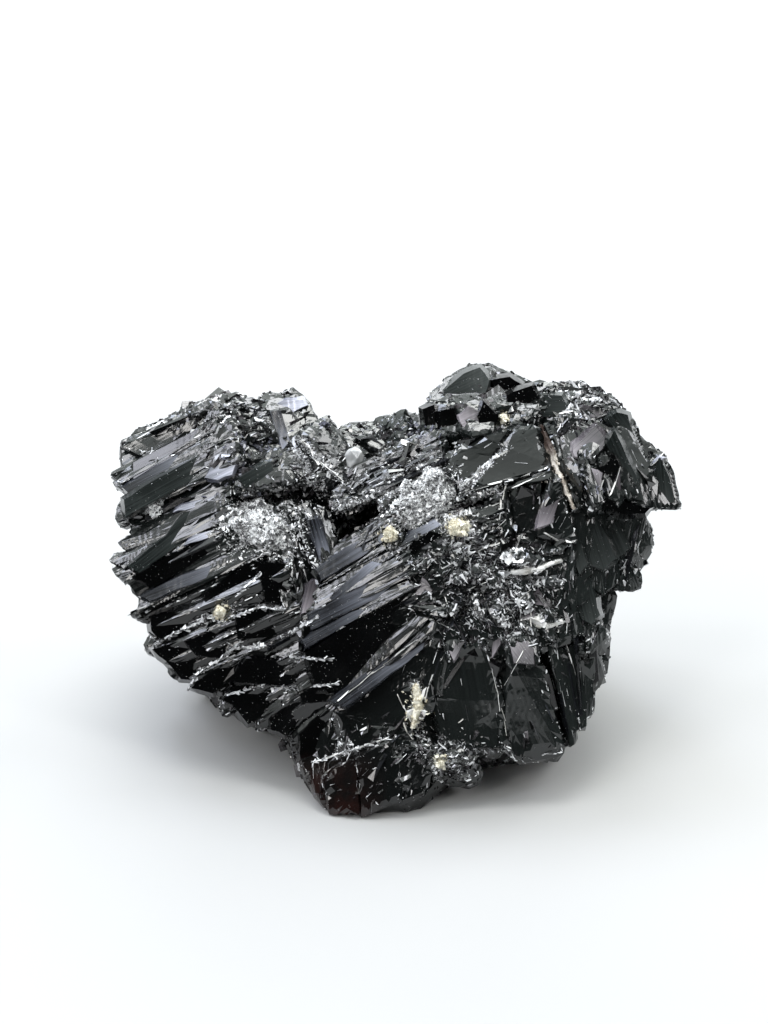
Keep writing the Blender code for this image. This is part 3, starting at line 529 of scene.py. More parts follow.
def make_piece(name, points, faces, material, grain_map=None, numbers=None, smooth=False,
               stands_for=()):
    """A mesh object from points in millimetres and triangles, riding on the specimen."""
    mesh = bpy.data.meshes.new(name)
    mesh.vertices.add(len(points))
    mesh.vertices.foreach_set("co", (points * MM).astype(np.float32).ravel())
    mesh.loops.add(faces.size)
    mesh.loops.foreach_set("vertex_index", faces.astype(np.int32).ravel())
    mesh.polygons.add(len(faces))
    mesh.polygons.foreach_set("loop_start", np.arange(0, faces.size, 3, dtype=np.int32))
    mesh.update(calc_edges=True)
    if grain_map is not None:
        layer = mesh.uv_layers.new(name="grain")
        layer.uv.foreach_set("vector", grain_map.astype(np.float32).ravel())
    for label, values in (numbers or {}).items():
        mesh.attributes.new(label, "FLOAT", "POINT").data.foreach_set("value", values.astype(np.float32))
    mesh.polygons.foreach_set("use_smooth", np.full(len(faces), smooth))
    mesh.materials.append(MATERIALS[material])
    obj = bpy.data.objects.new(name, mesh)
    bpy.context.scene.collection.objects.link(obj)
    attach(obj, "root")
    if stands_for:
        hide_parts(*stands_for)
    print(f"{name}: {len(faces)} triangles")


def grain_map_of(points, faces, groups):
    """The map of each corner: millimetres along and across the grain, shifted for each flat face."""
    corners = points[faces]
    along = (corners * FACET_GRAIN[groups][:, None]).sum(2) + 37.0 * dice(groups, salt=3)[:, None]
    across = (corners * FACET_SIDE[groups][:, None]).sum(2) + 91.0 * dice(groups, salt=4)[:, None]
    return np.stack([along, across], 2).reshape(-1, 2)


# %% [markdown]
# ## Finishes
#
# Tin ore is black and very bright: almost no colour comes from inside, and nearly all that is seen is the
# reflection in its faces. So the colour stays near black, and the work goes into the gloss. Fine lines along
# the grain spread a reflection across the slats, as on silk. A little brown shows in thin places at the tip,
# because the ore lets deep red light through. Crushed ore is a pale grey powder, and it lies where edges
# have been bruised.
#
# Some breaks look silvery, grey or rosy. They have the same gloss over a paler body, and that paleness is
# painted light: two colours that take turns along the grain paint a sheen, and a haze that each piece sets
# point by point paints a highlight. So one maker serves all the finishes of the ore, from the blackest slat
# to the palest shell-like break. An image could hold all this too, but it would blur when seen from near.


# %% Node helpers
def add_node(tree, kind, settings=None, **values):
    """A node with its settings and its input values, whose spaces are written as underscores."""
    made = tree.nodes.new("ShaderNode" + kind)
    for key, value in (settings or {}).items():
        setattr(made, key, value)
    for key, value in values.items():
        made.inputs[key.replace("_", " ")].default_value = value
    return made


def noise_of(tree, vector, scale, detail=2.0, rough=0.5):
    """Noise on a place that was stretched by three numbers first. On the piece's own place a scale is per
    metre, so 900 gives spots about a millimetre apart. On the grain map it is per millimetre."""
    mapping = add_node(tree, "Mapping", Scale=scale)
    noise = add_node(tree, "TexNoise", Scale=1.0, Detail=detail, Roughness=rough)
    tree.links.new(vector, mapping.inputs["Vector"])
    tree.links.new(mapping.outputs["Vector"], noise.inputs["Vector"])
    return noise.outputs["Fac"]


def ramp_of(tree, value, low, high, start=0.0, end=1.0):
    """The value moved from the range low..high to start..end, and held inside it."""
    made = add_node(tree, "MapRange", From_Min=low, From_Max=high, To_Min=start, To_Max=end)
    tree.links.new(value, made.inputs["Value"])
    return made.outputs["Result"]


def maths(tree, way, first, second):
    """The two values added, multiplied, and so on. Either may be a plain number."""
    made = tree.nodes.new("ShaderNodeMath")
    made.operation = way
    for socket, value in zip(made.inputs, (first, second)):
        if isinstance(value, (int, float)):
            socket.default_value = value
        else:
            tree.links.new(value, socket)
    return made.outputs[0]


def blend_colours(tree, share, first, second):
    """The first colour where the share is 0, the second where it is 1."""
    made = tree.nodes.new("ShaderNodeMix")
    made.data_type = "RGBA"
    tree.links.new(share, made.inputs[0])
    for socket, colour in ((made.inputs[6], first), (made.inputs[7], second)):
        if isinstance(colour, tuple):
            socket.default_value = (*colour, 1.0)
        else:
            tree.links.new(colour, socket)
    return made.outputs[2]


def new_material(name, **values):
    """A material with the main shader, whose constant values are set on its own sockets."""
    material = bpy.data.materials.new(name)
    material.use_nodes = True
    tree = material.node_tree
    shader = tree.nodes["Principled BSDF"]
    for key, value in values.items():
        shader.inputs[key.replace("_", " ")].default_value = value
    MATERIALS[name] = material
    return tree, shader


def add_bumps(tree, shader, *layers):
    """Bumps laid over each other. Each layer is a height, its depth in millimetres and its strength."""
    below = None
    for height, depth, strength in layers:
        bump = add_node(tree, "Bump", Strength=strength, Distance=depth * MM)
        tree.links.new(height, bump.inputs["Height"])
        if below is not None:
            tree.links.new(below, bump.inputs["Normal"])
        below = bump.outputs["Normal"]
    tree.links.new(below, shader.inputs["Normal"])


print("node helpers are ready")


# %% The black ore
DENTS, PATCHES, RIPPLES, SPECKS = 900.0, 160.0, 320.0, 1500.0  # how many to a metre
BLACKEST, BLACK = (0.0002, 0.0002, 0.0003), (0.0009, 0.0010, 0.0012)
TIP_RED = (0.015, 0.004, 0.003)
BRUISED = (0.16, 0.165, 0.175)
DUSTY = (0.12, 0.12, 0.115)


def number_of(tree, label):
    """The number of that name that a piece carries at each of its points."""
    return add_node(tree, "Attribute", {"attribute_name": label}).outputs["Fac"]


def tip_share(tree, place, patches):
    """1 in patches of the lowest front tip, where thin ore lets red light through, and 0 elsewhere. The
    heights are in metres."""
    split = add_node(tree, "SeparateXYZ")
    tree.links.new(place, split.inputs[0])
    low = ramp_of(tree, split.outputs["Z"], 0.001, 0.010, 1.0, 0.0)
    front = ramp_of(tree, split.outputs["Y"], -0.020, -0.026)
    left = ramp_of(tree, split.outputs["X"], -0.001, -0.006)
    red = maths(tree, "MULTIPLY", maths(tree, "MULTIPLY", low, front), ramp_of(tree, patches, 0.35, 0.6))
    return maths(tree, "MULTIPLY", red, left)


def ore_ripples(tree, place, patches):
    """Curved ripples, like those of a broken bottle, in some patches."""
    waves = add_node(tree, "TexWave", Scale=RIPPLES, Distortion=9.0, Detail=2.0, Detail_Scale=0.35)
    tree.links.new(place, waves.inputs["Vector"])
    return maths(tree, "MULTIPLY", waves.outputs["Fac"], ramp_of(tree, patches, 0.48, 0.58))


def ore_dust(tree, place, patches):
    """1 on small round specks of pale dust, which lie in some patches."""
    specks = add_node(tree, "TexVoronoi", Scale=SPECKS)
    tree.links.new(place, specks.inputs["Vector"])
    return maths(tree, "MULTIPLY", ramp_of(tree, specks.outputs["Distance"], 0.10, 0.16, 1.0, 0.0),
                 ramp_of(tree, patches, 0.50, 0.62))


# The paler of the two colours along the silky lines, and the pale colour that each point's haze number brings
# in, are painted light: a painted sheen along the grain and a painted highlight.
def ore_material(name, bend, gloss, pale, ripple, painted_sheen=None, painted_haze_colour=(0.016, 0.0195, 0.0190)):
    """Black ore with silky lines along its grain, curved ripples in patches, dull spots, dust, bruised
    edges, and a red-brown tip. Crystals with a high tone are milky: pale is how light the milkiest are.
    painted_sheen gives two colours that take turns along the silky lines in place of the black, a painted
    shine.
    painted_haze_colour is the pale colour of a full painted highlight, which each point's painted_haze brings
    in."""
    tree, shader = new_material(name, IOR=bend)
    grain = add_node(tree, "UVMap", {"uv_map": "grain"}).outputs["UV"]
    place = add_node(tree, "TexCoord").outputs["Object"]
    tone = number_of(tree, "tone")
    fine = noise_of(tree, grain, (0.10, 8.0, 1.0), 2.0, 0.6)
    broad = noise_of(tree, grain, (0.05, 1.6, 1.0), 3.0, 0.6)
    silk = noise_of(tree, grain, (0.07, 4.0, 1.0), 2.0, 0.6)
    dents = noise_of(tree, place, (DENTS,) * 3, 4.0, 0.6)
    patches = noise_of(tree, place, (PATCHES,) * 3, 3.0, 0.6)
    ripples = ore_ripples(tree, place, patches)
    dusty = ore_dust(tree, place, patches)
    bruise = ramp_of(tree, maths(tree, "ADD", number_of(tree, "powder"), dents), 0.75, 1.1)
    red = tip_share(tree, place, patches)

    body = blend_colours(tree, ramp_of(tree, patches, 0.35, 0.7), BLACKEST, BLACK)
    # painted sheen: a paler body colour along the silky lines stands for reflected light
    if painted_sheen:
        streaks = maths(tree, "MULTIPLY", silk, 0.65)
        clouds = maths(tree, "MULTIPLY", patches, 0.35)
        body = blend_colours(tree, ramp_of(tree, maths(tree, "ADD", streaks, clouds), 0.40, 0.66), *painted_sheen)
    # painted highlight: the haze number blends the body towards a pale colour that stands for reflected light
    painted_haze = maths(tree, "MULTIPLY", number_of(tree, "painted_haze"), ramp_of(tree, silk, 0.3, 0.7, 0.65, 1.1))
    body = blend_colours(tree, painted_haze, body, painted_haze_colour)
    milky = maths(tree, "MULTIPLY", ramp_of(tree, tone, 0.5, 1.0), ramp_of(tree, dents, 0.40, 0.62))
    body = blend_colours(tree, milky, body, (pale, 0.92 * pale, pale))
    for share, colour in ((red, TIP_RED), (bruise, BRUISED), (dusty, DUSTY)):
        body = blend_colours(tree, share, body, colour)
    tree.links.new(body, shader.inputs["Base Color"])

    rough = ramp_of(tree, fine, 0.3, 0.7, gloss, gloss + 0.08)
    rough = maths(tree, "ADD", rough, ramp_of(tree, patches, 0.45, 0.75, 0.0, 0.10))
    rough = maths(tree, "ADD", rough, ramp_of(tree, tone, 0.5, 1.0, 0.0, 0.16))
    powdered = maths(tree, "MULTIPLY", maths(tree, "MAXIMUM", dusty, bruise), 0.6)
    tree.links.new(maths(tree, "MAXIMUM", rough, powdered), shader.inputs["Roughness"])
    add_bumps(tree, shader, (broad, 0.012, 0.6), (silk, 0.008, 0.7), (fine, 0.005, 0.6), (dents, 0.010, 0.35),
              (ripples, ripple, 0.8))


ore_material("black_ore", 1.58, 0.06, 0.004, 0.03)
# past the black ore, the paler colours of these finishes are painted light: each pair paints a sheen along
# the grain, and the last colour is a painted highlight
ore_material("ore_slats", 1.52, 0.06, 0.006, 0.01, ((0.0004, 0.0004, 0.0006), (0.016, 0.0175, 0.021)))
ore_material("hazy_ore", 1.50, 0.12, 0.004, 0.02, ((0.006, 0.0078, 0.0076), (0.024, 0.0285, 0.0280)),
             (0.055, 0.061, 0.060))
ore_material("satin_ore", 1.75, 0.14, 0.02, 0.01, ((0.002, 0.0022, 0.003), (0.045, 0.049, 0.060)),
             (0.34, 0.36, 0.43))
ore_material("shell_ore", 1.85, 0.12, 0.02, 0.05, ((0.065, 0.068, 0.090), (0.250, 0.255, 0.320)),
             (0.56, 0.57, 0.66))
ore_material("rosy_ore", 1.85, 0.12, 0.02, 0.02, ((0.030, 0.027, 0.031), (0.085, 0.076, 0.084)),
             (0.34, 0.31, 0.34))
ore_material("ore_crystals", 1.90, 0.04, 0.13, 0.05)
print("finishes so far:", ", ".join(MATERIALS))


# %% [markdown]
# ## Grains and powder
#
# Quartz, crushed ore and the cream mineral are all heaps of small crystals, each a little lighter or darker
# than the next. So they share one maker: a tone that each crystal carries picks a colour between two, and a
# bump as fine as the grains breaks up the gloss. Only the clear quartz lets light through.


# %% Quartz, crushed ore and the cream mineral
def grain_material(name, colour, deep, size, roughness, depth, light=(0.6, 1.1), top=None, **values):
    """A granular mineral: each crystal has its own tone between two colours, with uneven gloss and a bump of
    its grain size in millimetres. light is the range of tones that spans the two colours. top gives two
    heights in metres and the colour above them."""
    tree, shader = new_material(name, **values)
    place = add_node(tree, "TexCoord").outputs["Object"]
    scale = 1.0 / (size * MM)
    grains = noise_of(tree, place, (scale,) * 3, 4.0, 0.65)
    patches = noise_of(tree, place, (scale / 4,) * 3, 2.0, 0.5)
    share = ramp_of(tree, maths(tree, "ADD", patches, number_of(tree, "tone")), *light)
    body = blend_colours(tree, share, deep, colour)
    if top:
        split = add_node(tree, "SeparateXYZ")
        tree.links.new(place, split.inputs[0])
        body = blend_colours(tree, ramp_of(tree, split.outputs["Z"], top[0], top[1]), body, top[2])
    tree.links.new(body, shader.inputs["Base Color"])
    rough = ramp_of(tree, grains, 0.3, 0.7, roughness - 0.08, roughness + 0.15)
    tree.links.new(rough, shader.inputs["Roughness"])
    add_bumps(tree, shader, (grains, depth, 0.8))


grain_material("clear_quartz", (0.78, 0.79, 0.80), (0.42, 0.43, 0.44), 1.2, 0.12, 0.06,
               IOR=1.54, Transmission_Weight=0.45)
grain_material("sugar_quartz", (0.85, 0.86, 0.87), (0.05, 0.05, 0.053), 0.4, 0.14, 0.04, (0.6, 1.25),
               IOR=1.54)
grain_material("crushed_ore", (0.78, 0.79, 0.81), (0.06, 0.06, 0.062), 0.4, 0.18, 0.03, (0.65, 1.20), IOR=1.7)
grain_material("white_slivers", (0.86, 0.86, 0.85), (0.42, 0.41, 0.38), 0.5, 0.35, 0.03, (0.5, 1.0), IOR=1.5)
grain_material("cream_grains", (0.80, 0.78, 0.68), (0.48, 0.43, 0.31), 0.45, 0.45, 0.05, (0.6, 1.2), IOR=1.5)
grain_material("vein_grains", (0.72, 0.68, 0.62), (0.34, 0.28, 0.23), 0.4, 0.45, 0.05, (0.5, 1.1),
               (0.047, 0.0485, (0.030, 0.016, 0.011)), IOR=1.5)
print(len(MATERIALS), "finishes")

# %% [markdown]
# ## The skin as a piece
#
# The skin is the first piece, and it stands for the whole solid of the ore. It is flat shaded, as broken
# stone is: smooth shading would melt its small faces into soft bumps. It carries two numbers at each point,
# how much powder lies there and how much haze it has, a painted sheen that pales its body.

# %% The skin as a piece
make_piece(
    "cassiterite_skin", SKIN_PLACED, SKIN_FACES, "black_ore",
    grain_map=grain_map_of(SKIN_POINTS, SKIN_FACES, SKIN_GROUPS),
    # the haze number is a painted sheen: it pales the body towards grey-green where the zones say so
    numbers={"powder": SKIN_WORN * (0.35 + 0.9 * SKIN_MIX[:, 2]), "painted_haze": SKIN_MIX[:, 3]},
    stands_for=("cassiterite_mass",),
)

# %% [markdown]
# ## Laying crystals on the skin
#
# Thousands of small crystals stand on the skin. Each is a gable, like a little roof: a base of four corners
# sunk in the ore and a ridge of two, with its own length, width, height and lean. That is eight triangles,
# and four faces that catch the light at four angles. They are laid by chance, more where a zone is crumbled,
# and each takes its grain from the face under it.


# %% Choosing places
CHANCE = np.random.default_rng(1811)
SKIN_NORMALS, SKIN_AREAS = face_normals(SKIN_PLACED, SKIN_FACES)
SKIN_CENTRES = SKIN_PLACED[SKIN_FACES].mean(1)
SKIN_HABITS, _ = habits(SKIN_CENTRES, FACET_OUT[SKIN_GROUPS])
# the underside carries no crystals
ON_BASE = (SKIN_CENTRES[:, 2] < 6.0) & (FACET_OUT[SKIN_GROUPS][:, 2] < -0.8)


def places_on_skin(count, weight):
    """Random places on the skin, as many for each area as its weight says, and each place's triangle."""
    share = SKIN_AREAS * weight * ~ON_BASE
    chosen = CHANCE.choice(len(share), count, p=share / share.sum())
    a, b = CHANCE.random((2, count))
    over = a + b > 1
    a, b = np.where(over, 1 - a, a), np.where(over, 1 - b, b)
    first, second, third = SKIN_PLACED[SKIN_FACES[chosen]].transpose(1, 0, 2)
    return first + a[:, None] * (second - first) + b[:, None] * (third - first), chosen


def places_on_faces(points, faces, weight, count):
    """Random places on any triangles, as many for each as its weight says, and each place's triangle."""
    chosen = CHANCE.choice(len(faces), count, p=weight / weight.sum())
    mixed = CHANCE.dirichlet((1, 1, 1), count)
    return (points[faces[chosen]] * mixed[:, :, None]).sum(1), chosen


def any_way(out):
    """A random direction square to each way out."""
    return unit(np.cross(out, unit(CHANCE.normal(size=(len(out), 3)))))


def turned_frames(grain, out, turn, pitch, roll):
    """Frames turned about the way out, then pitched up, then rolled about the grain, all in radians."""
    side = np.cross(out, grain)
    turn, pitch, roll = turn[:, None], pitch[:, None], roll[:, None]
    grain, side = np.cos(turn) * grain + np.sin(turn) * side, np.cos(turn) * side - np.sin(turn) * grain
    grain, out = np.cos(pitch) * grain + np.sin(pitch) * out, np.cos(pitch) * out - np.sin(pitch) * grain
    side, out = np.cos(roll) * side + np.sin(roll) * out, np.cos(roll) * out - np.sin(roll) * side
    return grain, side, out


print("room for crystals, cm2:", round(float(SKIN_AREAS[~ON_BASE].sum() / 100), 1))

# %% Gables
# the corners of a gable as shares of half the length, half the width and the height: the base, then the ridge
GABLE = np.array([[-1, -1, -1], [1, -1, -1], [1, 1, -1], [-1, 1, -1], [-1, 0, 1], [1, 0, 1.0]])
GABLE_FACES = np.array([
    [0, 3, 2], [0, 2, 1], [0, 1, 5], [0, 5, 4], [2, 3, 4], [2, 4, 5], [3, 0, 4], [1, 2, 5],
])
# how deep a base is sunk: shares of its height, of its lift by the lean, and at most of its length
SUNK, LEAN_SUNK, DEEPEST = 0.5, 1.1, 0.6


def gables(places, frames, under, length, width, height, ragged=(0.5, 0.35)):
    """Joined gables. A corner is its place plus its share of the length, the width and the height, each share
    drawn in by chance. The base is sunk into the ore by half the height, and by as much again as the lean
    against the way out of the face underneath lifts its far corner, so that no underside shows. ragged gives
    the least share that is left of the length and of the width."""
    count = len(places)
    grain, side, out = frames
    lift = np.abs((grain * under).sum(1)) * length / 2 + np.abs((side * under).sum(1)) * width / 2
    depth = SUNK * height + np.minimum(LEAN_SUNK * lift, DEEPEST * length)
    local = np.repeat(GABLE[None], count, 0)
    local[:, :, 0] *= CHANCE.uniform(ragged[0], 1.0, (count, 6))
    local[:, :4, 1] *= CHANCE.uniform(ragged[1], 1.0, (count, 4))
    local[:, 4:, 0] *= CHANCE.uniform(0.4, 1.0, (count, 2))
    local[:, 4:, 1] = CHANCE.uniform(-0.85, 0.85, (count, 1)) + CHANCE.uniform(-0.12, 0.12, (count, 2))
    local[:, 4:, 2] = CHANCE.uniform(0.45, 1.0, (count, 2))
    local[:, :4, 2] = -(depth / height)[:, None] * CHANCE.uniform(0.85, 1.2, (count, 4))
    points = places[:, None] + (local[:, :, :1] * (length / 2)[:, None, None] * grain[:, None]
                                + local[:, :, 1:2] * (width / 2)[:, None, None] * side[:, None]
                                + local[:, :, 2:] * height[:, None, None] * out[:, None])
    points = points.reshape(-1, 3)
    points[:, 2] = np.maximum(points[:, 2], 0.0)
    faces = (GABLE_FACES[None] + 6 * np.arange(count)[:, None, None]).reshape(-1, 3)
    shift = CHANCE.random((count, 1, 2)) * 50
    along = local[:, :, 0] * (length / 2)[:, None]
    across = local[:, :, 1] * (width / 2)[:, None] + local[:, :, 2] * height[:, None]
    flat = np.stack([along, across], 2) + shift
    return points, faces, flat[:, GABLE_FACES].reshape(-1, 2), np.repeat(CHANCE.random(count), 6)


def gable_piece(name, made, material):
    """A piece from what gables gives."""
    points, faces, flat, tone = made
    make_piece(name, points, faces, material, grain_map=flat, numbers={"tone": tone})


print("a gable has", len(GABLE_FACES), "triangles")

# %% Which crystals have ore behind them
# A crystal that hangs over an edge would float in the air, so each end asks with a ray whether ore is there.
ORE_TREE = BVHTree.FromPolygons(ORE_POINTS.tolist(), ORE_FACES.tolist())
RAY_LIFT = 0.5  # each ray starts this far outside, in millimetres


def backed(points, out, reach):
    """True where the ore lies within the given distance under the point, against the way out."""
    return np.array([
        ORE_TREE.ray_cast(Vector(p + RAY_LIFT * n), Vector(-n), reach + RAY_LIFT)[0] is not None
        for p, n in zip(points, out)
    ])


def lies_on_ore(places, grain, out, length, reach):
    """True where the ore lies under both ends of a crystal."""
    half = (0.45 * length)[:, None] * grain
    return backed(places - half, out, reach) & backed(places + half, out, reach)


print("the middle of the face has ore behind it:", backed(to_part([[42.0, 40.0, 0.0]]), [FACE_OUT], 30.0))

# %% [markdown]
# ## The faces that the eye knows it by
#
# Most of the crystals are laid by chance, but some faces are so large, so bright or so black that the eye
# looks for them: the rosy face of the right block, its smooth end, the silvery blades of the sheaf, the black
# steps of the wing, the grey columns. These are listed one by one. Each is a flat polygon that is turned a
# little to the right and up, stands just out of the skin, and has flanks that slope back into the ore. A few
# degrees decide what such a face mirrors, so each has two angles of its own.
#
# A pale face is seldom pale all over: a painted highlight, its haze, grows towards one end. So each point of
# a large face knows how far along the face it lies, and the painted highlight follows that.


# %% Large faces
SKIN_TREE = BVHTree.FromPolygons(SKIN_PLACED.tolist(), SKIN_FACES.tolist())

# material: then, for each face, degrees turned right and up, and u and v of its corners in millimetres
LARGE_FACES = {
    "rosy_ore": [
        (-9, 12, (72.0, 56.9), (74.1, 59.0), (75.6, 57.2), (75.3, 55.8), (73.2, 54.0), (70.9, 54.5),
         (70.8, 56.3)),
        (8, -6, (75.8, 53.4), (77.6, 52.2), (77.9, 49.4), (76.4, 48.6)),
        (-6, 8, (73.4, 52.8), (75.2, 51.9), (74.7, 49.3)),
        (-4, 10, (52.0, 26.2), (54.7, 27.0), (53.0, 24.0)),
        (5, 14, (61.2, 26.9), (63.3, 27.5), (65.0, 25.7), (65.0, 23.5), (62.0, 23.7)),
        (-8, 4, (58.7, 24.5), (60.0, 26.6), (59.3, 29.2)),
        (-12, 3, (47.3, 33.8), (48.2, 35.9), (49.7, 34.5), (49.2, 33.8)),
        (4, 6, (65.3, 43.8), (66.8, 48.8), (68.7, 48.5), (67.7, 44.6)),
        (-6, -4, (64.0, 32.5), (65.7, 35.2), (66.3, 32.2)),
        (10, 4, (30.3, 31.0), (31.4, 35.6), (32.8, 36.4), (32.4, 31.6)),
        (-6, 8, (53.8, 60.6), (55.2, 62.0), (57.4, 60.9), (56.2, 58.8), (54.4, 59.0)),
        (-8, 6, (47.5, 34.5), (48.3, 36.4), (49.5, 35.2), (49.2, 33.0)),
    ],
    "shell_ore": [
        (-10, 20, (15.8, 51.3), (16.5, 52.9), (18.8, 53.9), (20.6, 53.9), (19.8, 51.8), (17.7, 51.0)),
        (-8, 20, (10.8, 46.2), (12.3, 47.2), (15.3, 48.1), (15.9, 47.7), (13.8, 46.8)),
        (-8, 20, (12.4, 41.2), (14.2, 42.8), (16.8, 43.4), (16.1, 42.3)),
        (-10, 16, (24.9, 61.6), (27.8, 63.2), (30.3, 63.0), (31.0, 62.2), (28.5, 61.0)),
        (-10, 10, (82.3, 53.0), (82.9, 52.3), (84.4, 54.2), (84.0, 54.6)),
    ],
    "satin_ore": [
        (-3, 8, (3.3, 49.8), (7.5, 52.5), (11.4, 54.8), (15.0, 55.9), (15.4, 55.0), (7.5, 51.0), (3.6, 48.3)),
        (-6, 4, (32.5, 37.6), (36.8, 40.8), (41.7, 43.5), (42.9, 42.3), (40.2, 40.2), (33.3, 36.0)),
        (-6, 3, (34.5, 33.3), (37.8, 36.4), (40.8, 38.9), (42.3, 38.5), (40.8, 36.8), (36.0, 32.2)),
        (-5, 2, (31.3, 30.9), (36.0, 33.3), (40.5, 36.0), (44.9, 36.9), (44.7, 34.8), (39.0, 32.1),
         (31.8, 28.6)),
        (-5, 3, (30.4, 27.0), (31.8, 28.2), (39.0, 31.8), (44.5, 34.4), (44.4, 33.8), (37.5, 29.7),
         (30.9, 25.8)),
        (-5, 2, (34.6, 18.0), (42.0, 24.0), (48.1, 27.9), (49.4, 26.6), (45.0, 23.1), (36.9, 17.1)),
        (-6, 8, (45.0, 41.1), (46.8, 43.4), (50.1, 44.9), (51.1, 44.2), (48.6, 42.9)),
        (10, -2, (31.3, 45.0), (32.7, 45.3), (34.6, 39.8), (33.3, 38.5)),
        (-8, 4, (25.5, 61.2), (26.6, 61.5), (28.5, 57.0), (27.4, 55.5)),
        (-5, 4, (6.0, 33.6), (12.0, 36.6), (19.2, 39.0), (20.6, 39.2), (19.0, 37.6), (12.5, 35.0),
         (7.5, 32.9)),
    ],
    "black_ore": [
        (3, -12, (4.9, 36.5), (16.9, 43.2), (18.2, 41.2), (8.0, 34.9)),
        (-4, -12, (15.3, 33.5), (19.2, 36.4), (22.0, 38.5), (24.3, 35.7), (20.3, 32.8)),
        (4, -10, (12.8, 26.7), (16.3, 28.2), (19.2, 26.4), (18.5, 24.2), (14.5, 24.6)),
        (6, -10, (23.5, 38.8), (27.8, 38.5), (28.2, 32.1), (24.9, 32.8)),
        (-3, -13, (20.3, 31.0), (25.6, 32.1), (26.4, 27.7), (20.7, 27.1)),
        (2, -12, (22.0, 24.2), (31.3, 24.2), (34.2, 22.5), (27.8, 20.2), (19.2, 20.7)),
        (-3, -11, (7.8, 25.5), (12.7, 27.0), (14.2, 24.0), (13.5, 21.0), (12.5, 19.5), (10.8, 22.8),
         (9.0, 24.0)),
        (-2, -11, (19.8, 17.4), (18.3, 18.0), (21.0, 20.6), (27.4, 20.2), (27.7, 18.5), (25.8, 16.2),
         (22.2, 14.4)),
        (-4, -10, (13.1, 19.5), (16.8, 18.9), (20.2, 21.3), (23.7, 24.7), (21.0, 24.3), (17.2, 22.8),
         (15.0, 21.0)),
        (-6, -8, (7.5, 30.0), (10.5, 31.2), (13.5, 30.0), (12.7, 28.2), (9.0, 27.0), (7.2, 28.2)),
        (2, -12, (25.5, 15.0), (28.5, 17.2), (31.5, 18.0), (30.0, 15.0), (27.7, 12.7), (25.8, 13.5)),
        (4, -11, (30.0, 12.7), (32.7, 15.7), (35.2, 17.2), (34.5, 12.7), (31.8, 9.7), (30.0, 9.0)),
        (-3, -10, (30.0, 19.0), (32.7, 20.4), (37.2, 19.8), (36.7, 18.3), (33.0, 17.7), (30.3, 17.7)),
        (5, -12, (30.7, 28.9), (34.4, 30.0), (34.4, 26.4), (30.3, 25.6)),
        (4, -6, (58.5, 66.1), (61.4, 66.6), (63.3, 65.4), (62.8, 63.7), (61.4, 63.2), (59.4, 64.7)),
        (6, -8, (57.5, 62.7), (59.9, 60.3), (59.0, 58.6), (57.2, 58.0), (56.6, 60.5)),
        (-6, -8, (50.2, 61.3), (53.1, 61.7), (53.6, 59.3), (52.4, 57.6), (50.7, 58.6)),
        (-12, -6, (48.3, 61.8), (50.2, 62.3), (50.5, 58.6), (48.8, 58.6)),
        (5, -5, (60.9, 63.7), (64.7, 65.1), (65.7, 63.7), (63.3, 61.3), (61.4, 60.8)),
        (4, -6, (73.0, 52.5), (75.4, 53.0), (76.8, 55.0), (77.8, 53.0), (75.9, 49.2), (73.5, 51.1)),
        (8, -13, (72.0, 50.9), (75.4, 48.5), (82.2, 46.7), (82.2, 45.8), (77.8, 45.9), (73.0, 48.2)),
        (3, -12, (45.8, 40.8), (49.5, 43.4), (51.1, 42.8), (46.8, 40.0)),
        (2, -12, (30.9, 25.1), (44.4, 33.9), (47.1, 32.9), (45.6, 28.3), (36.6, 19.5), (32.7, 19.5)),
    ],
    "hazy_ore": [
        (-4, 6, (51.7, 64.6), (54.6, 67.1), (57.0, 68.0), (58.5, 66.1), (57.5, 63.2), (53.6, 62.7),
         (51.2, 62.7)),
        (3, 2, (65.2, 63.7), (69.1, 63.7), (70.5, 61.7), (67.2, 60.3), (64.3, 60.8)),
        (2, 4, (3.6, 48.0), (7.5, 50.7), (15.0, 54.8), (19.8, 56.1), (21.0, 55.0), (15.8, 52.8),
         (12.8, 50.2), (7.5, 47.5), (3.8, 45.4)),
        (2, 2, (4.2, 38.1), (9.8, 42.6), (12.2, 46.0), (16.8, 47.4), (17.4, 45.0), (10.8, 40.6), (6.0, 36.9)),
        (5, -2, (20.7, 51.4), (25.6, 53.8), (26.4, 52.0), (22.0, 49.2)),
        (4, -3, (75.8, 60.0), (77.5, 61.1), (79.0, 60.8), (79.8, 58.2), (79.2, 56.8)),
        (3, -6, (82.0, 52.6), (84.0, 54.4), (85.6, 50.6), (86.1, 47.6), (81.8, 47.4)),
        (2, 2, (71.6, 47.0), (74.3, 46.4), (77.3, 39.3), (75.4, 37.5), (73.4, 38.2)),
        (5, -2, (75.0, 46.0), (77.6, 45.6), (79.4, 40.8), (77.8, 39.4)),
        (-4, 1, (69.6, 44.0), (71.2, 45.0), (72.9, 38.4), (71.7, 36.9)),
        (3, -2, (70.6, 36.4), (73.2, 36.9), (74.9, 30.8), (73.6, 29.4), (72.1, 30.2)),
        (14, -8, (75.8, 56.4), (77.0, 58.4), (80.4, 51.2), (81.3, 47.8), (79.4, 48.2)),
    ],
}
print("large faces:", {material: len(places) for material, places in LARGE_FACES.items()})

# %% Finding the skin under a place of the display face
BARE = -15.0  # stands for no ore behind a place
RAY_FROM = 40.0  # rays start this far in front of the face


def skin_w(u, v, tree=SKIN_TREE):
    """How far the skin stands out over a place of the display face, in millimetres."""
    hit = tree.ray_cast(Vector(to_part([u, v, RAY_FROM])), Vector(-FACE_OUT))[0]
    return BARE if hit is None else float(to_face(np.array(hit))[2])


def cut_into(parts):
    """For each line's number of parts: each part's line, and its own number on that line, from 0."""
    line = np.repeat(np.arange(len(parts)), parts)
    return line, np.arange(len(line)) - np.repeat(np.cumsum(parts) - parts, parts)


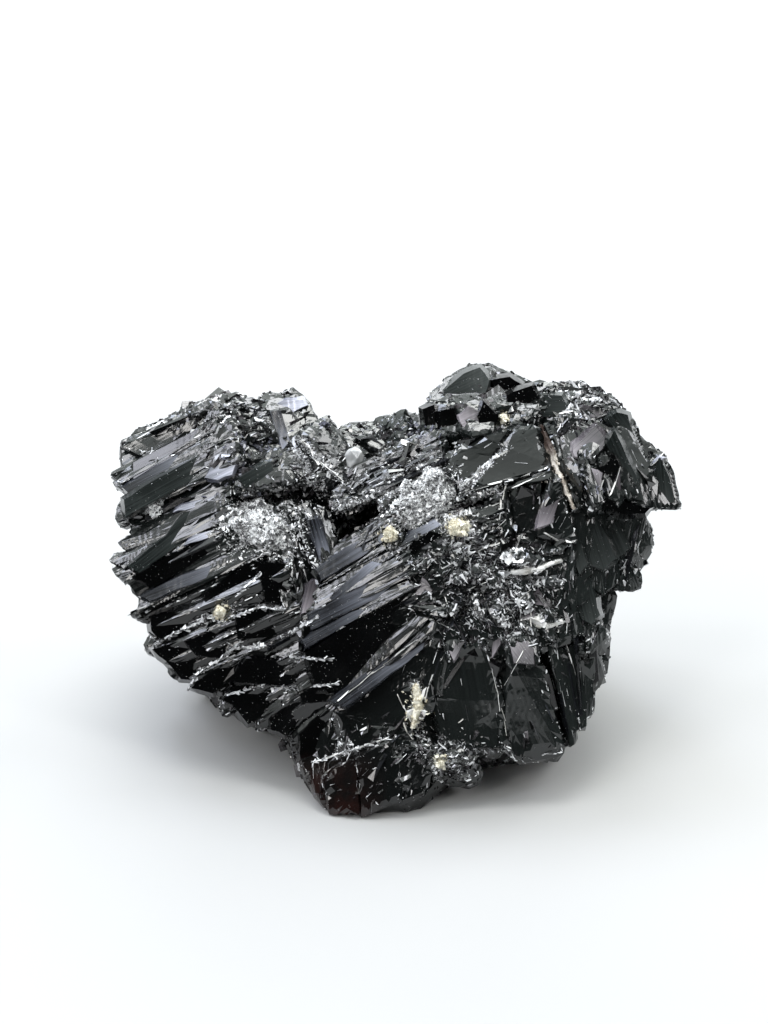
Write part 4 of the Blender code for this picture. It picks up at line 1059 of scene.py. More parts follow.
def chipped(rim, step=1.5, jitter=0.06):
    """The polygon's corners with more points between them, each knocked a little out of line."""
    after = np.roll(rim, -1, axis=0)
    parts = np.maximum(1, np.ceil(np.linalg.norm(after - rim, axis=1) / step)).astype(int)
    side, number = cut_into(parts)
    share = number / parts[side]
    return rim[side] + (after - rim)[side] * share[:, None] + CHANCE.normal(0, jitter, (len(side), 2))


def swept_area(one, two, three):
    """Twice the area of each triangle on the display face, below 0 where it turns clockwise."""
    return (two - one)[:, 0] * (three - one)[:, 1] - (two - one)[:, 1] * (three - one)[:, 0]


print("the skin over the middle of the face, mm:", round(skin_w(42.0, 40.0), 2))

# %% One large face
PULL_STEPS, PULL = 6, 0.12  # a corner with no ore behind it moves in by this share, at most this often
CLEAR_OF_SKIN = 62  # a face clears this percentage of the skin under it
STANDS_OUT = 0.15  # and stands out past that by this, in millimetres
FLANK_REACH, FLANK_DEPTH = 0.7, 2.6  # how far out and how far down the flanks slope, in millimetres


def large_face(right, up, *corners):
    """A flat polygon in the plane w = level - tan(right) * u - tan(up) * v, with flanks that slope into the
    ore. The level is high enough for most of its rim to clear the skin. Corners with no ore behind them are
    pulled in first. The map runs along the polygon's long direction, and the share rises from 0 at its left
    end to 1 at its right end."""
    rim = np.array(corners)
    for _ in range(PULL_STEPS):
        bare = np.array([skin_w(*corner) for corner in rim]) == BARE
        rim = np.where(bare[:, None], rim + PULL * (rim.mean(0) - rim), rim)
    swept = rim[:, 0] * np.roll(rim[:, 1], -1) - rim[:, 1] * np.roll(rim[:, 0], -1)
    rim = rim if swept.sum() > 0 else rim[::-1]
    middle = rim.mean(0)
    slope = np.tan(np.radians([right, up]))
    tested = np.vstack([rim, (rim + middle) / 2, middle])
    level = np.percentile([skin_w(*spot) + slope @ spot for spot in tested], CLEAR_OF_SKIN) + STANDS_OUT
    rim = chipped(rim)
    edge = unit(np.roll(rim, -1, axis=0) - rim)
    away = np.stack([edge[:, 1], -edge[:, 0]], 1)
    away = unit(away + np.roll(away, 1, axis=0))
    top = np.column_stack([rim, level - rim @ slope])
    foot = np.column_stack([rim + FLANK_REACH * away, top[:, 2] - FLANK_DEPTH])
    count = len(rim)
    here, after = np.arange(count), np.roll(np.arange(count), -1)
    lid = np.array(tessellate_polygon([[Vector((*corner, 0)) for corner in rim]]))
    turns = swept_area(*rim[lid].transpose(1, 0, 2))
    lid = np.where(turns[:, None] > 0, lid, lid[:, ::-1])
    flanks = [np.stack([here, here + count, after + count], 1), np.stack([here, after + count, after], 1)]
    faces = np.vstack([lid, *flanks])
    flat = np.vstack([rim, rim + 1.5 * away])
    long = np.linalg.eigh((rim - middle).T @ (rim - middle))[1][:, ::-1]
    along = rim @ (long[:, 0] * np.sign(long[0, 0] + 1e-9))
    share = (along - along.min()) / np.ptp(along)
    return to_part(np.vstack([top, foot])), faces, (flat @ long)[faces].reshape(-1, 2), np.tile(share, 2)


print("flanks slope", round(math.degrees(math.atan2(FLANK_DEPTH, FLANK_REACH))), "degrees down")

# %% All the large faces
# the painted highlight of a face: its haze at the right end, or at the left end if below 0
PAINTED_BRIGHT_ENDS = {"satin_ore": 0.8, "hazy_ore": 0.6, "shell_ore": 0.7, "rosy_ore": -0.8}


def joined(meshes):
    """The points of several meshes and their triangles, as one mesh."""
    starts = np.cumsum([0] + [len(points) for points, _ in meshes])
    return (np.vstack([points for points, _ in meshes]),
            np.vstack([faces + first for (_, faces), first in zip(meshes, starts)]))


def lay_large_faces(material, places):
    """One piece with all the large faces of a material, with a painted highlight that grows towards one end
    of each.
    """
    made = [large_face(*place) for place in places]
    points, faces = joined([(points, faces) for points, faces, _, _ in made])
    share = np.concatenate([share for *_, share in made])
    end = PAINTED_BRIGHT_ENDS.get(material, 0.0)
    # painted highlight: the haze grows towards one end of each face
    painted_haze = abs(end) * np.clip(1.2 * (share if end > 0 else 1 - share) - 0.2, 0, 1) ** 2
    make_piece(material + "_faces", points, faces, material,
               grain_map=np.vstack([grain_map for _, _, grain_map, _ in made]),
               numbers={"tone": np.full(len(points), 0.4), "painted_haze": painted_haze})
    return points, faces


LARGE_POINTS, LARGE_TRIANGLES = joined([lay_large_faces(*item) for item in LARGE_FACES.items()])
LARGE_TREE = BVHTree.FromPolygons(LARGE_POINTS.tolist(), LARGE_TRIANGLES.tolist())

# %% Where crumbs would hide what matters
FACE_PLACES = to_face(SKIN_CENTRES)[:, :2]
RIM_ROOM = 0.4  # millimetres kept clear round a large face
# u, v, half width and half height of other clear places: the clear grain and the two white slivers
CLEAR_PLACES = ((38.0, 54.3, 1.5, 1.8), (65.6, 39.5, 4.0, 1.0), (66.4, 28.9, 2.8, 1.4))


def inside(middle, half):
    """How far each triangle of the skin lies inside an ellipse of the display face: 1 in it, 0 outside."""
    away = (FACE_PLACES - middle) / half
    return np.exp(-((away**2).sum(1) ** 2))


ON_LARGE = np.max(
    [inside(np.mean(corners, 0), np.ptp(corners, axis=0) / 2 + RIM_ROOM)
     for places in LARGE_FACES.values() for _, _, *corners in places]
    + [inside(place[:2], place[2:]) for place in CLEAR_PLACES], axis=0)
KEPT_OFF = 0.92  # the share of the crystals that a large face keeps off
CLEARED = 1 - KEPT_OFF * ON_LARGE
print("covered by large faces, share of the skin:", round(float(ON_LARGE.mean()), 3))

# %% [markdown]
# ## Crumbled crystals
#
# Where slats of different directions meet, the ore is crushed into a rubble of crystals of all sizes. It is
# built up as it looks, from coarse to fine: shards first, then wedges, crumbs, blades and needles. Each kind
# is one piece of gables, with its own range of sizes and its own finish, so that the kinds can be told apart
# and changed one by one. A particle system would lay them too, but not along the grain of the face below.


# %% Crumbled crystals
HANGS_OVER = 1.0  # crystals with a middle length above this are left out where they would hang over an edge


def crumble(name, count, weight, middle, spread, least, most, turn, pitch, slim, tall,
            material="ore_crystals"):
    """Gables laid by chance. Their lengths gather round a middle size, and each has its own turn and pitch.

    middle, least and most are lengths in millimetres, and spread is how unevenly they gather. turn and pitch
    are in radians. slim and tall are the ranges of the width and the height as shares of the length."""
    spots, under = places_on_skin(count, weight * CLEARED)
    group = SKIN_GROUPS[under]
    size = np.clip(CHANCE.lognormal(math.log(middle), spread, count), least, most)
    frames = turned_frames(FACET_GRAIN[group], FACET_OUT[group], CHANCE.normal(0, turn, count),
                           CHANCE.normal(0, pitch, count), CHANCE.normal(0, 0.3, count))
    if middle > HANGS_OVER:
        reach = 0.3 * middle + 0.3
        lies = lies_on_ore(spots, frames[0], FACET_OUT[group], size, reach)
        lies &= lies_on_ore(spots, frames[1], FACET_OUT[group], 0.6 * size, reach)
        spots, group, size, frames = spots[lies], group[lies], size[lies], [axis[lies] for axis in frames]
    width = size * CHANCE.uniform(*slim, len(spots))
    height = size * CHANCE.uniform(*tall, len(spots))
    gable_piece(name, gables(spots, frames, FACET_OUT[group], size, width, height), material)


def from_ellipses(points, ellipses):
    """How deep each point is inside the nearest ellipse of the display face, from 1 in its middle to 0
    outside. Each ellipse is the u and v of its middle and its half width and half height."""
    apart = (to_face(points)[:, None, :2] - ellipses[:, :2]) / ellipses[:, 2:]
    return np.exp(-(apart**2).sum(2)).max(1)


CRUMBS, HACKLE = SKIN_HABITS[:, 2], SKIN_HABITS[:, 1]
LOW = np.clip(SKIN_CENTRES[:, 2] / 3, 0, 1)
BACK = np.clip(-1.5 * SKIN_NORMALS @ FACE_OUT, 0, 1) * LOW
crumble("back_shards", 800, BACK + 1e-6, 6.0, 0.35, 3.0, 11.0, 0.9, 0.10, (0.45, 0.95), (0.10, 0.22),
        "black_ore")
crumble("shards", 1100, HACKLE**2 * LOW + 0.002, 4.4, 0.3, 2.6, 7.5, 0.7, 0.16, (0.40, 0.80), (0.10, 0.24))
crumble("wedge_crystals", 2600, (CRUMBS + 0.4 * HACKLE) ** 2 * LOW + 0.002, 2.4, 0.3, 1.4, 4.5, 0.5, 0.22,
        (0.25, 0.6), (0.10, 0.28))
crumble("crumbled_crystals", 6800, CRUMBS**1.8 * LOW + 0.001, 1.2, 0.35, 0.5, 2.4, 0.6, 0.30, (0.25, 0.7),
        (0.12, 0.35))
# the silver blades, silver splinters, crinkles and silver needles are painted light: their pale finishes
# paint glints and sheen on the rubble
crumble("silver_blades", 900, CRUMBS**2 * LOW + 1e-4, 3.2, 0.35, 1.5, 5.5, 0.6, 0.25, (0.12, 0.24),
        (0.05, 0.12), "satin_ore")
crumble("painted_glint_splinters", 6000, CRUMBS**2.5 * LOW + 1e-4, 0.9, 0.4, 0.4, 2.2, 0.8, 0.4, (0.15, 0.4),
        (0.15, 0.35), "crushed_ore")
# u, v, half width and half height of the patches of crumpled ore, whose pale finish is a painted sheen
CRUMPLED = np.array([
    [14.0, 48.4, 2.6, 1.3], [20.6, 52.2, 4.4, 2.2], [24.0, 56.0, 4.0, 1.6], [33.5, 60.0, 2.0, 1.2],
    [75.0, 51.0, 2.6, 2.0], [48.0, 58.5, 3.0, 1.5],
])
CRINKLES = from_ellipses(SKIN_CENTRES, CRUMPLED)
crumble("crinkles", 2200, CRINKLES**2 + 1e-6, 1.1, 0.3, 0.6, 2.2, 0.9, 0.30, (0.4, 0.8), (0.14, 0.30),
        "shell_ore")
crumble("needles", 2600, CRUMBS**2 * LOW + 1e-4, 2.4, 0.4, 1.0, 5.0, 0.55, 0.15, (0.06, 0.16), (0.06, 0.14))
crumble("painted_glint_needles", 1300, CRUMBS**2 * LOW + 1e-4, 1.9, 0.45, 0.8, 4.5, 0.5, 0.15, (0.05, 0.12),
        (0.05, 0.12), "crushed_ore")
crumble("fine_crumbs", 9000, CRUMBS**1.6 + 0.004, 0.5, 0.3, 0.2, 0.9, 1.2, 0.5, (0.4, 0.8), (0.2, 0.5))

# %% [markdown]
# ## Laths along the slats
#
# A slat isn't one smooth board: it is a bundle of thinner laths, some dull, some satin with a painted sheen,
# some only a hair wide and pale, a painted highlight. They are the same gables again, but long and nearly
# flat, and turned hardly at all, so that a bundle stays a bundle.


# %% Laths along the slats
SLATS = SKIN_HABITS[:, 0] ** 1.5 * (1 - 0.7 * CRUMBS)
LATH_BACKING = 0.35  # how near the ore lies under both ends of a lath, in millimetres


def lay_laths(name, count, middle, most, wide, widest, material="ore_slats"):
    """Long flat gables along the grain, backed by ore at both ends, each with a width of its own."""
    spots, under = places_on_skin(count, (SLATS + 0.002) * CLEARED)
    group = SKIN_GROUPS[under]
    size = np.clip(CHANCE.lognormal(math.log(middle), 0.4, count), 1.5, most)
    frames = turned_frames(FACET_GRAIN[group], FACET_OUT[group], CHANCE.normal(0, 0.02, count),
                           CHANCE.normal(0, 0.01, count), CHANCE.normal(0, 0.10, count))
    lies = lies_on_ore(spots, frames[0], FACET_OUT[group], size, LATH_BACKING)
    spots, size, frames, group = spots[lies], size[lies], [axis[lies] for axis in frames], group[lies]
    width = np.clip(CHANCE.lognormal(math.log(wide), 0.45, len(spots)), 0.2, widest)
    height = width * CHANCE.uniform(0.06, 0.16, len(spots))
    gable_piece(name, gables(spots, frames, FACET_OUT[group], size, width, height, (0.75, 0.12)), material)


lay_laths("broad_slats", 420, 11.0, 24.0, 3.4, 5.5)
lay_laths("slat_laths", 260, 6.0, 16.0, 0.5, 1.2)
# the satin laths carry a painted sheen, and the hair-thin pale laths are painted highlights along the slats
lay_laths("satin_laths", 420, 5.0, 12.0, 0.34, 0.9, "satin_ore")
lay_laths("painted_highlight_laths", 1500, 2.6, 8.0, 0.11, 0.22, "crushed_ore")

# %% [markdown]
# ## The grains of quartz and cream mineral
#
# Each inclusion is a node of the solid model. Its piece starts from that node's own shape, is split until its
# triangles are small, and then gets the broken facets of its mineral. A grain that has grown in a rock isn't
# a neat dome, so its outline is pulled in unevenly. Small crystals of the same mineral stand on it and spill
# onto the ore, which hides its rim.


# %% Making an inclusion
def split_evenly(points, faces, longest):
    """Cuts every edge longer than the given length in two, until none is left."""
    while True:
        corners = points[faces]
        length = np.linalg.norm(np.roll(corners, -1, axis=1) - corners, axis=2)
        if (length <= longest).all():
            return points, faces
        points, faces, _ = halved(points, faces, *edge_numbers(faces), length, longest)


def towards_rim(points, middle):
    """The way from the middle to each point, along the display face."""
    away = points - middle
    return away - (away @ FACE_OUT)[:, None] * FACE_OUT


def grown_shape(node, longest, facet, depth, draw_in=0.0, thin=0.0, shrink=1.0, lift=0.0):
    """The node's shape with edges no longer than the longest, roughened by broken facets of the given size
    and depth, and its middle.

    lift moves it out, shrink scales its outline, and draw_in pulls it in unevenly. thin does so only across
    its long direction, so that a vein swells and tapers."""
    points, faces = split_evenly(*merged_arrays(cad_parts[node]), longest)
    middle = (points.min(0) + points.max(0)) / 2 + lift * FACE_OUT
    normals, areas = face_normals(points, faces)
    out = [np.bincount(faces.ravel(), np.repeat(way * areas, 3), len(points)) for way in normals.T]
    out = unit(np.stack(out, 1))
    points = points + out * (depth * (broken(points, facet, 0.9, 61) + 0.4))[:, None]
    points = points + lift * FACE_OUT
    points = points - (1 - shrink) * towards_rim(points, middle)
    pull = draw_in * np.clip(0.5 + 0.9 * cloud(points, 3.0, 67), 0, 1)
    points = points - towards_rim(points, middle) * pull[:, None]
    spread = to_face(points)[:, :2] - to_face(middle)[:2]
    short = np.linalg.eigh(spread.T @ spread)[1][:, 0] @ FACE_AXES[:2]
    pull = thin * np.clip(0.55 + 1.3 * cloud(points, 2.4, 68) + 0.5 * cloud(points, 0.7, 69), 0, 1.25)
    return points - short * (((points - middle) @ short) * pull)[:, None], faces, middle


INCLUSION_DEPTH = 7  # crystals spill only onto ore within this of the inclusion's own level, in millimetres


def grown_bits(points, faces, middle, bits, bit_size, spill):
    """Small crystals that stand on the shape, and half as many more that spill over its rim onto the ore as
    far as spill times its radius, ever fewer, and close the gap round it."""
    normals, areas = face_normals(points, faces)
    spots, chosen = places_on_faces(points, faces, areas * np.clip(normals @ FACE_OUT + 0.4, 0, 1), bits)
    reach = (to_face(points).max(0) - to_face(points).min(0))[:2] / 2
    away = np.hypot(*((to_face(SKIN_CENTRES) - to_face(middle))[:, :2] / reach).T)
    away = away + 0.35 * cloud(SKIN_CENTRES, 2.2, 83)
    near = np.exp(-((np.maximum(away - 0.9, 0) / (0.35 * spill)) ** 2)) * (SKIN_NORMALS @ FACE_OUT > -0.2)
    near = near * (np.abs((SKIN_CENTRES - middle) @ FACE_OUT) < INCLUSION_DEPTH)
    outer, under = places_on_skin(bits // 2, near**2 + 1e-9)
    spots = np.vstack([spots, outer])
    standing = np.vstack([normals[chosen], SKIN_NORMALS[under]])
    count = len(spots)
    grain = any_way(standing)
    size = np.clip(CHANCE.lognormal(math.log(bit_size), 0.4, count), 0.15, 3 * bit_size)
    frames = turned_frames(grain, standing, CHANCE.normal(0, 1, count), CHANCE.normal(0, 0.5, count),
                           CHANCE.normal(0, 0.5, count))
    width = size * CHANCE.uniform(0.3, 0.9, count)
    return gables(spots, frames, standing, size, width, size * CHANCE.uniform(0.3, 0.7, count))


print("crystals spill over", round(float((SKIN_NORMALS @ FACE_OUT > -0.2).mean()), 2), "of the skin at most")


# %% All the inclusions
def inclusion(node, material, slot, *grown, bits=0, bit_size=0.3, spill=1.0, smooth=False, **shaping):
    """The node's shape with small crystals on it, as the piece that stands for the node."""
    points, faces, middle = grown_shape(node, *grown, **shaping)
    tone = 0.35 + 0.5 * cloud(points, 0.8, 5)
    if bits:
        more, more_faces, _, more_tone = grown_bits(points, faces, middle, bits, bit_size, spill)
        points, faces = joined([(points, faces), (more, more_faces)])
        tone = np.concatenate([tone, more_tone])
    make_piece(node + "_grown", points, faces, material, smooth=smooth, stands_for=(node,),
               numbers={"tone": tone})


for node, spill in (("quartz_crust_left", 1.3), ("quartz_crust_middle", 1.6)):
    inclusion(node, "sugar_quartz", "quartz", 0.5, 1.2, 0.7, bits=7600, bit_size=0.34, draw_in=0.35,
              spill=spill)
inclusion("quartz_cluster_edge", "sugar_quartz", "quartz", 0.4, 0.8, 0.4, bits=500, bit_size=0.40,
          draw_in=0.2)
inclusion("quartz_grain", "clear_quartz", "quartz", 0.25, 1.0, 0.05, smooth=True, lift=1.0)
for chip, shrink in (("left", 0.6), ("sheaf", 0.75), ("middle", 0.9), ("top", 0.6), ("low", 0.5)):
    inclusion("cream_chip_" + chip, "cream_grains", "cream_mineral", 0.25, 0.9, 0.8, bits=900, draw_in=0.8,
              spill=1.5, shrink=shrink, lift=-0.5)
for node in ("cream_sliver_middle", "cream_sliver_right"):
    inclusion(node, "white_slivers", "cream_mineral", 0.25, 1.5, 0.25, bits=60, bit_size=0.4, spill=0.4,
              thin=0.4, lift=0.8)
inclusion("cream_splinters", "cream_grains", "cream_mineral", 0.25, 0.8, 0.4, bits=300, bit_size=0.4,
          spill=0.8, thin=0.4)
inclusion("cream_seam", "vein_grains", "cream_mineral", 0.25, 1.1, 0.35, bits=160, bit_size=0.28,
          spill=0.10, thin=0.75)

# %% [markdown]
# ## Bruised rims, and pale specks that paint glints
#
# Where an edge was knocked, the ore is crushed to a pale sugary powder, and it shows as thin bright lines
# along the steps. Each line is given by its two ends on the display face and its width. Grains gather along
# it, ever fewer away from it. A few pale specks lie everywhere else, most of all in the crumbled zones:
# partly crushed powder and partly painted glints.


# %% Crushed grains
# u and v of one end, u and v of the other end, and the width, all in millimetres
BRUISES = np.array([
    [7.8, 26.0, 11.7, 28.2, 0.35], [11.7, 28.2, 17.9, 31.1, 0.40], [19.2, 30.3, 24.3, 32.0, 0.40],
    [24.3, 32.0, 27.5, 31.7, 0.40], [27.8, 27.5, 32.9, 30.6, 0.30], [14.3, 21.8, 19.2, 24.9, 0.35],
    [19.2, 24.9, 20.7, 26.4, 0.35], [12.8, 19.2, 14.6, 21.4, 0.35], [20.3, 33.5, 24.3, 37.1, 0.30],
    [20.4, 25.8, 24.5, 26.2, 0.35], [28.5, 24.4, 35.0, 24.3, 0.40], [26.5, 19.9, 29.6, 19.8, 0.30],
    [32.0, 20.2, 36.0, 20.6, 0.35], [54.3, 50.2, 60.9, 55.7, 0.35], [19.0, 18.8, 24.5, 20.2, 0.25],
    [32.0, 8.6, 43.5, 12.5, 0.20], [35.0, 11.3, 37.5, 11.6, 0.30], [34.0, 14.7, 35.0, 15.3, 0.35],
    [54.4, 49.5, 61.0, 55.8, 0.45], [30.0, 57.0, 36.8, 50.7, 0.60], [7.0, 55.5, 8.5, 53.0, 0.9],
    [24.5, 61.0, 27.0, 57.5, 0.5], [29.5, 55.0, 33.0, 49.5, 1.0], [36.0, 47.0, 45.0, 49.5, 0.8],
    [55.0, 47.5, 60.0, 50.0, 0.5], [42.7, 43.0, 44.0, 41.0, 0.9], [52.5, 45.5, 55.5, 43.0, 1.2],
    [17.0, 30.5, 20.0, 31.2, 0.8], [65.5, 28.5, 69.0, 29.6, 0.6], [50.5, 8.0, 53.0, 9.0, 0.6],
    [47.0, 22.0, 48.0, 12.5, 0.8],
])


def from_bruises(points):
    """How near each point is to the bruises, from 1 on a line to 0 a few widths away."""
    place = to_face(points)[:, None, :2]
    start, end, width = BRUISES[:, :2], BRUISES[:, 2:4], BRUISES[:, 4]
    run = end - start
    share = np.clip(((place - start) * run).sum(2) / (run**2).sum(1), 0, 1)
    away = np.linalg.norm(place - start - share[:, :, None] * run, axis=2)
    return np.exp(-((away / width) ** 2)).max(1)


FACING = np.clip(2 * SKIN_NORMALS @ FACE_OUT + 0.4, 0, 1) * (to_face(SKIN_CENTRES)[:, 2] > -9)
crumble("crushed_rims", 10000, from_bruises(SKIN_CENTRES) ** 2 * FACING + 1e-9, 0.38, 0.35, 0.12, 0.9, 1.2,
        0.6, (0.4, 0.9), (0.3, 0.7), "crushed_ore")
SKIN_EDGE = SKIN_WORN[SKIN_FACES].mean(1)  # how worn each triangle is
# pale specks of crushed ore, partly powder and partly painted glints, most of all in the crumbled zones and
# on worn edges
crumble("powder_and_painted_glint_specks", 7000, 0.02 + CRUMBS**2 + 0.8 * SKIN_EDGE, 0.20, 0.35, 0.08, 0.45, 1.5, 0.6,
        (0.4, 0.9), (0.3, 0.7), "crushed_ore")

# %% [markdown]
# ## Pale splinters
#
# A few thin white splinters catch the light so well that they are seen as lines, each in its own
# place. A line is given by its two ends, as the bruises are, and is cut into short gables that lie end
# to end on whatever is on top there, the skin or a large face. The same maker turns the sharpest
# bruises into sugary rims.


# %% Pale splinters
# u and v of both ends and the width, all in millimetres
SPLINTERS = np.array([
    [51.2, 37.7, 60.0, 41.9, 0.30], [60.0, 42.2, 61.7, 40.2, 0.45], [62.6, 38.6, 62.9, 36.9, 0.50],
    [66.6, 43.1, 68.3, 41.9, 0.30], [68.3, 41.9, 71.0, 41.7, 0.30], [54.5, 48.9, 60.0, 50.9, 0.35],
    [30.4, 56.9, 33.2, 53.4, 0.55], [54.6, 50.4, 60.7, 55.5, 0.30], [61.7, 49.8, 66.6, 51.9, 0.22],
    [59.7, 44.4, 60.6, 50.1, 0.20], [58.1, 42.9, 60.8, 44.7, 0.25], [58.7, 22.5, 61.1, 13.0, 0.15],
    [60.6, 20.3, 63.3, 25.5, 0.16], [46.7, 19.8, 48.2, 15.5, 0.30], [49.8, 21.9, 48.0, 16.2, 0.26],
    [44.6, 18.9, 46.4, 15.2, 0.28], [45.5, 14.6, 46.7, 12.0, 0.30], [48.6, 20.0, 47.6, 14.5, 0.40],
    [54.4, 54.4, 55.2, 54.2, 0.75], [45.0, 56.7, 47.8, 56.4, 0.75], [53.7, 14.6, 54.5, 15.0, 0.35],
    [30.0, 57.0, 33.2, 53.6, 0.30], [33.2, 53.6, 36.8, 50.7, 0.25], [77.8, 52.8, 76.5, 48.5, 0.25],
    [75.4, 51.3, 74.6, 49.2, 0.28], [82.4, 53.0, 84.6, 55.2, 0.28], [68.9, 60.9, 75.9, 62.6, 0.35],
    [32.0, 8.6, 37.5, 10.4, 0.16], [37.8, 10.6, 43.5, 12.5, 0.16], [35.7, 17.9, 47.5, 27.4, 0.22],
    [64.1, 34.0, 64.6, 28.2, 0.20], [56.4, 36.4, 58.6, 30.9, 0.22], [55.0, 34.5, 59.2, 36.3, 0.20],
    [66.3, 36.0, 62.8, 33.4, 0.22], [49.2, 30.4, 53.2, 28.6, 0.22], [51.7, 33.5, 53.4, 29.8, 0.22],
    [69.8, 26.6, 71.4, 21.9, 0.18],
])


def top_w(u, v):
    """How far the skin or a large face stands out over a place of the display face, in millimetres."""
    return max(skin_w(u, v), skin_w(u, v, LARGE_TREE))


LINE_LIFT = 0.12  # how far a splinter's middle line stands out past what is under it, in millimetres


def splinters(ends, longest=2.4):
    """Each line as a row of thin gables laid end to end on the skin, none much longer than the given length,
    each turned a little out of line."""
    start, end, width = ends[:, :2], ends[:, 2:4], ends[:, 4]
    parts = np.ceil(np.linalg.norm(end - start, axis=1) / longest).astype(int)
    line, step = cut_into(parts)
    near, far = step / parts[line], (step + 1) / parts[line]
    first = start[line] + (end - start)[line] * near[:, None]
    last = start[line] + (end - start)[line] * far[:, None] + CHANCE.normal(0, 0.16, (len(line), 2))
    heights = np.array([[top_w(*a), top_w(*((a + b) / 2)), top_w(*b)] for a, b in zip(first, last)])
    level = np.median(heights, 1) + LINE_LIFT
    tilt = np.clip(heights[:, 2] - heights[:, 0], -0.5, 0.5) / 2
    first = to_part(np.column_stack([first, level - tilt]))
    last = to_part(np.column_stack([last, level + tilt]))
    length = np.linalg.norm(last - first, axis=1)
    grain = unit(last - first)
    out = unit(FACE_OUT - (grain @ FACE_OUT)[:, None] * grain)
    count = len(line)
    frames = turned_frames(grain, out, np.zeros(count), np.zeros(count), CHANCE.normal(0, 0.5, count))
    wide = 0.75 * width[line] * CHANCE.uniform(0.6, 1.3, count)
    return gables((first + last) / 2, frames, out, 1.2 * length, wide, 0.8 * wide, (0.8, 0.25))


gable_piece("pale_splinters", splinters(SPLINTERS), "white_slivers")
SHARPEST = 16  # the first so many bruises are also laid as sugary rims
LINES = np.repeat(BRUISES[:SHARPEST], 3, axis=0)
LINES[:, :4] += CHANCE.normal(0, 0.12, (len(LINES), 4))
gable_piece("sugary_rims", splinters(LINES, 0.7), "crushed_ore")

# %% [markdown]
# ## Dust, and pale edges: worn powder with painted glints
#
# Two last things tell the eye how small everything is. Specks of crushed ore lie on the large smooth faces,
# which would look like plastic without them. And the sharp edges of the slats get short pale dashes, partly
# worn powder and partly painted glints. The dashes follow the solid model's own sharp edges, but only where
# the skin still has them: a break may have taken an edge away.


# %% Dust on the large faces
DUST_COUNT, DUST_SIZE = 1300, 0.10


def dust():
    """Tiny flat gables on the large faces, more on the larger ones."""
    normals, areas = face_normals(LARGE_POINTS, LARGE_TRIANGLES)
    weight = areas * (normals @ FACE_OUT > 0.9)
    spots, chosen = places_on_faces(LARGE_POINTS, LARGE_TRIANGLES, weight, DUST_COUNT)
    standing, level = normals[chosen], np.zeros(DUST_COUNT)
    grain = any_way(standing)
    size = np.clip(CHANCE.lognormal(math.log(DUST_SIZE), 0.45, DUST_COUNT), 0.05, 0.4)
    frames = turned_frames(grain, standing, level, CHANCE.normal(0, 0.3, DUST_COUNT), level)
    return gables(spots, frames, standing, size, 0.6 * size, 0.3 * size)


gable_piece("dust", dust(), "crushed_ore")


# %% Bright edges: worn powder and painted glints
def convex_edges(points, faces, sharper=math.radians(28)):
    """The two ends of each edge where two faces meet in an outward angle that is sharper than the given one,
    and the mean of the two ways out."""
    normals, _ = face_normals(points, faces)
    centres = points[faces].mean(1)
    one, two, shared = neighbours(faces)
    sharp = (normals[one] * normals[two]).sum(1) < math.cos(sharper)
    outward = ((centres[two] - centres[one]) * normals[one]).sum(1) < 0
    kept = sharp & outward
    ends = points[shared[kept]]
    return ends[:, 0], ends[:, 1], unit(normals[one[kept]] + normals[two[kept]])


EDGE_START, EDGE_END, EDGE_OUT = convex_edges(ORE_POINTS, ORE_FACES)
EDGE_LENGTH = np.linalg.norm(EDGE_END - EDGE_START, axis=1)
print(len(EDGE_START), "sharp edges,", round(float(EDGE_LENGTH.sum())), "mm in all")

RIM_COUNT = 15000
NEAR_SKIN = 0.8  # an edge that lies farther from the skin than this was cut off by a break
PALE_STRETCHES = 0.15  # edges are bright where a slow noise is above this


def edge_dashes():
    """Short thin gables along the sharp edges, on stretches chosen by a slow noise."""
    chosen = CHANCE.choice(len(EDGE_START), RIM_COUNT, p=EDGE_LENGTH / EDGE_LENGTH.sum())
    spots = EDGE_START[chosen] + CHANCE.random((RIM_COUNT, 1)) * (EDGE_END - EDGE_START)[chosen]
    kept = (cloud(spots, 2.4, 91) + 0.5 * cloud(spots, 0.9, 92) > PALE_STRETCHES) & (spots[:, 2] > 0.5)
    kept &= np.array([SKIN_TREE.find_nearest(Vector(spot), NEAR_SKIN)[0] is not None for spot in spots])
    spots, chosen = spots[kept], chosen[kept]
    count = len(spots)
    out = EDGE_OUT[chosen]
    spots = spots + out * 0.05 + CHANCE.normal(0, 0.05, (count, 3))
    size = np.clip(CHANCE.lognormal(math.log(0.45), 0.6, count), 0.12, 1.5)
    along = unit(laid_down(unit(EDGE_END[chosen] - EDGE_START[chosen]), out))
    frames = turned_frames(along, out, CHANCE.normal(0, 0.12, count), CHANCE.normal(0, 0.06, count),
                           CHANCE.normal(0, 0.5, count))
    width = np.clip(size * CHANCE.uniform(0.08, 0.26, count), 0.05, 0.16)
    return gables(spots, frames, out, size, width, width * CHANCE.uniform(0.4, 1.0, count))


# pale dashes along the sharp edges: partly worn powder, partly painted glints
gable_piece("worn_and_painted_glint_edges", edge_dashes(), "crushed_ore")

# %% [markdown]
# ## The stage
#
# The specimen stands on a plain pale floor. A long lens from far away keeps its proportions. The light is a
# large soft box above and behind, which the treads of the slats mirror towards the camera, while the faces
# that look at the camera mirror the dark side of the room and stay black.


# %% Floor, camera and light
FLOOR_LEVEL = -0.02  # just under the specimen, so that the two never share a plane


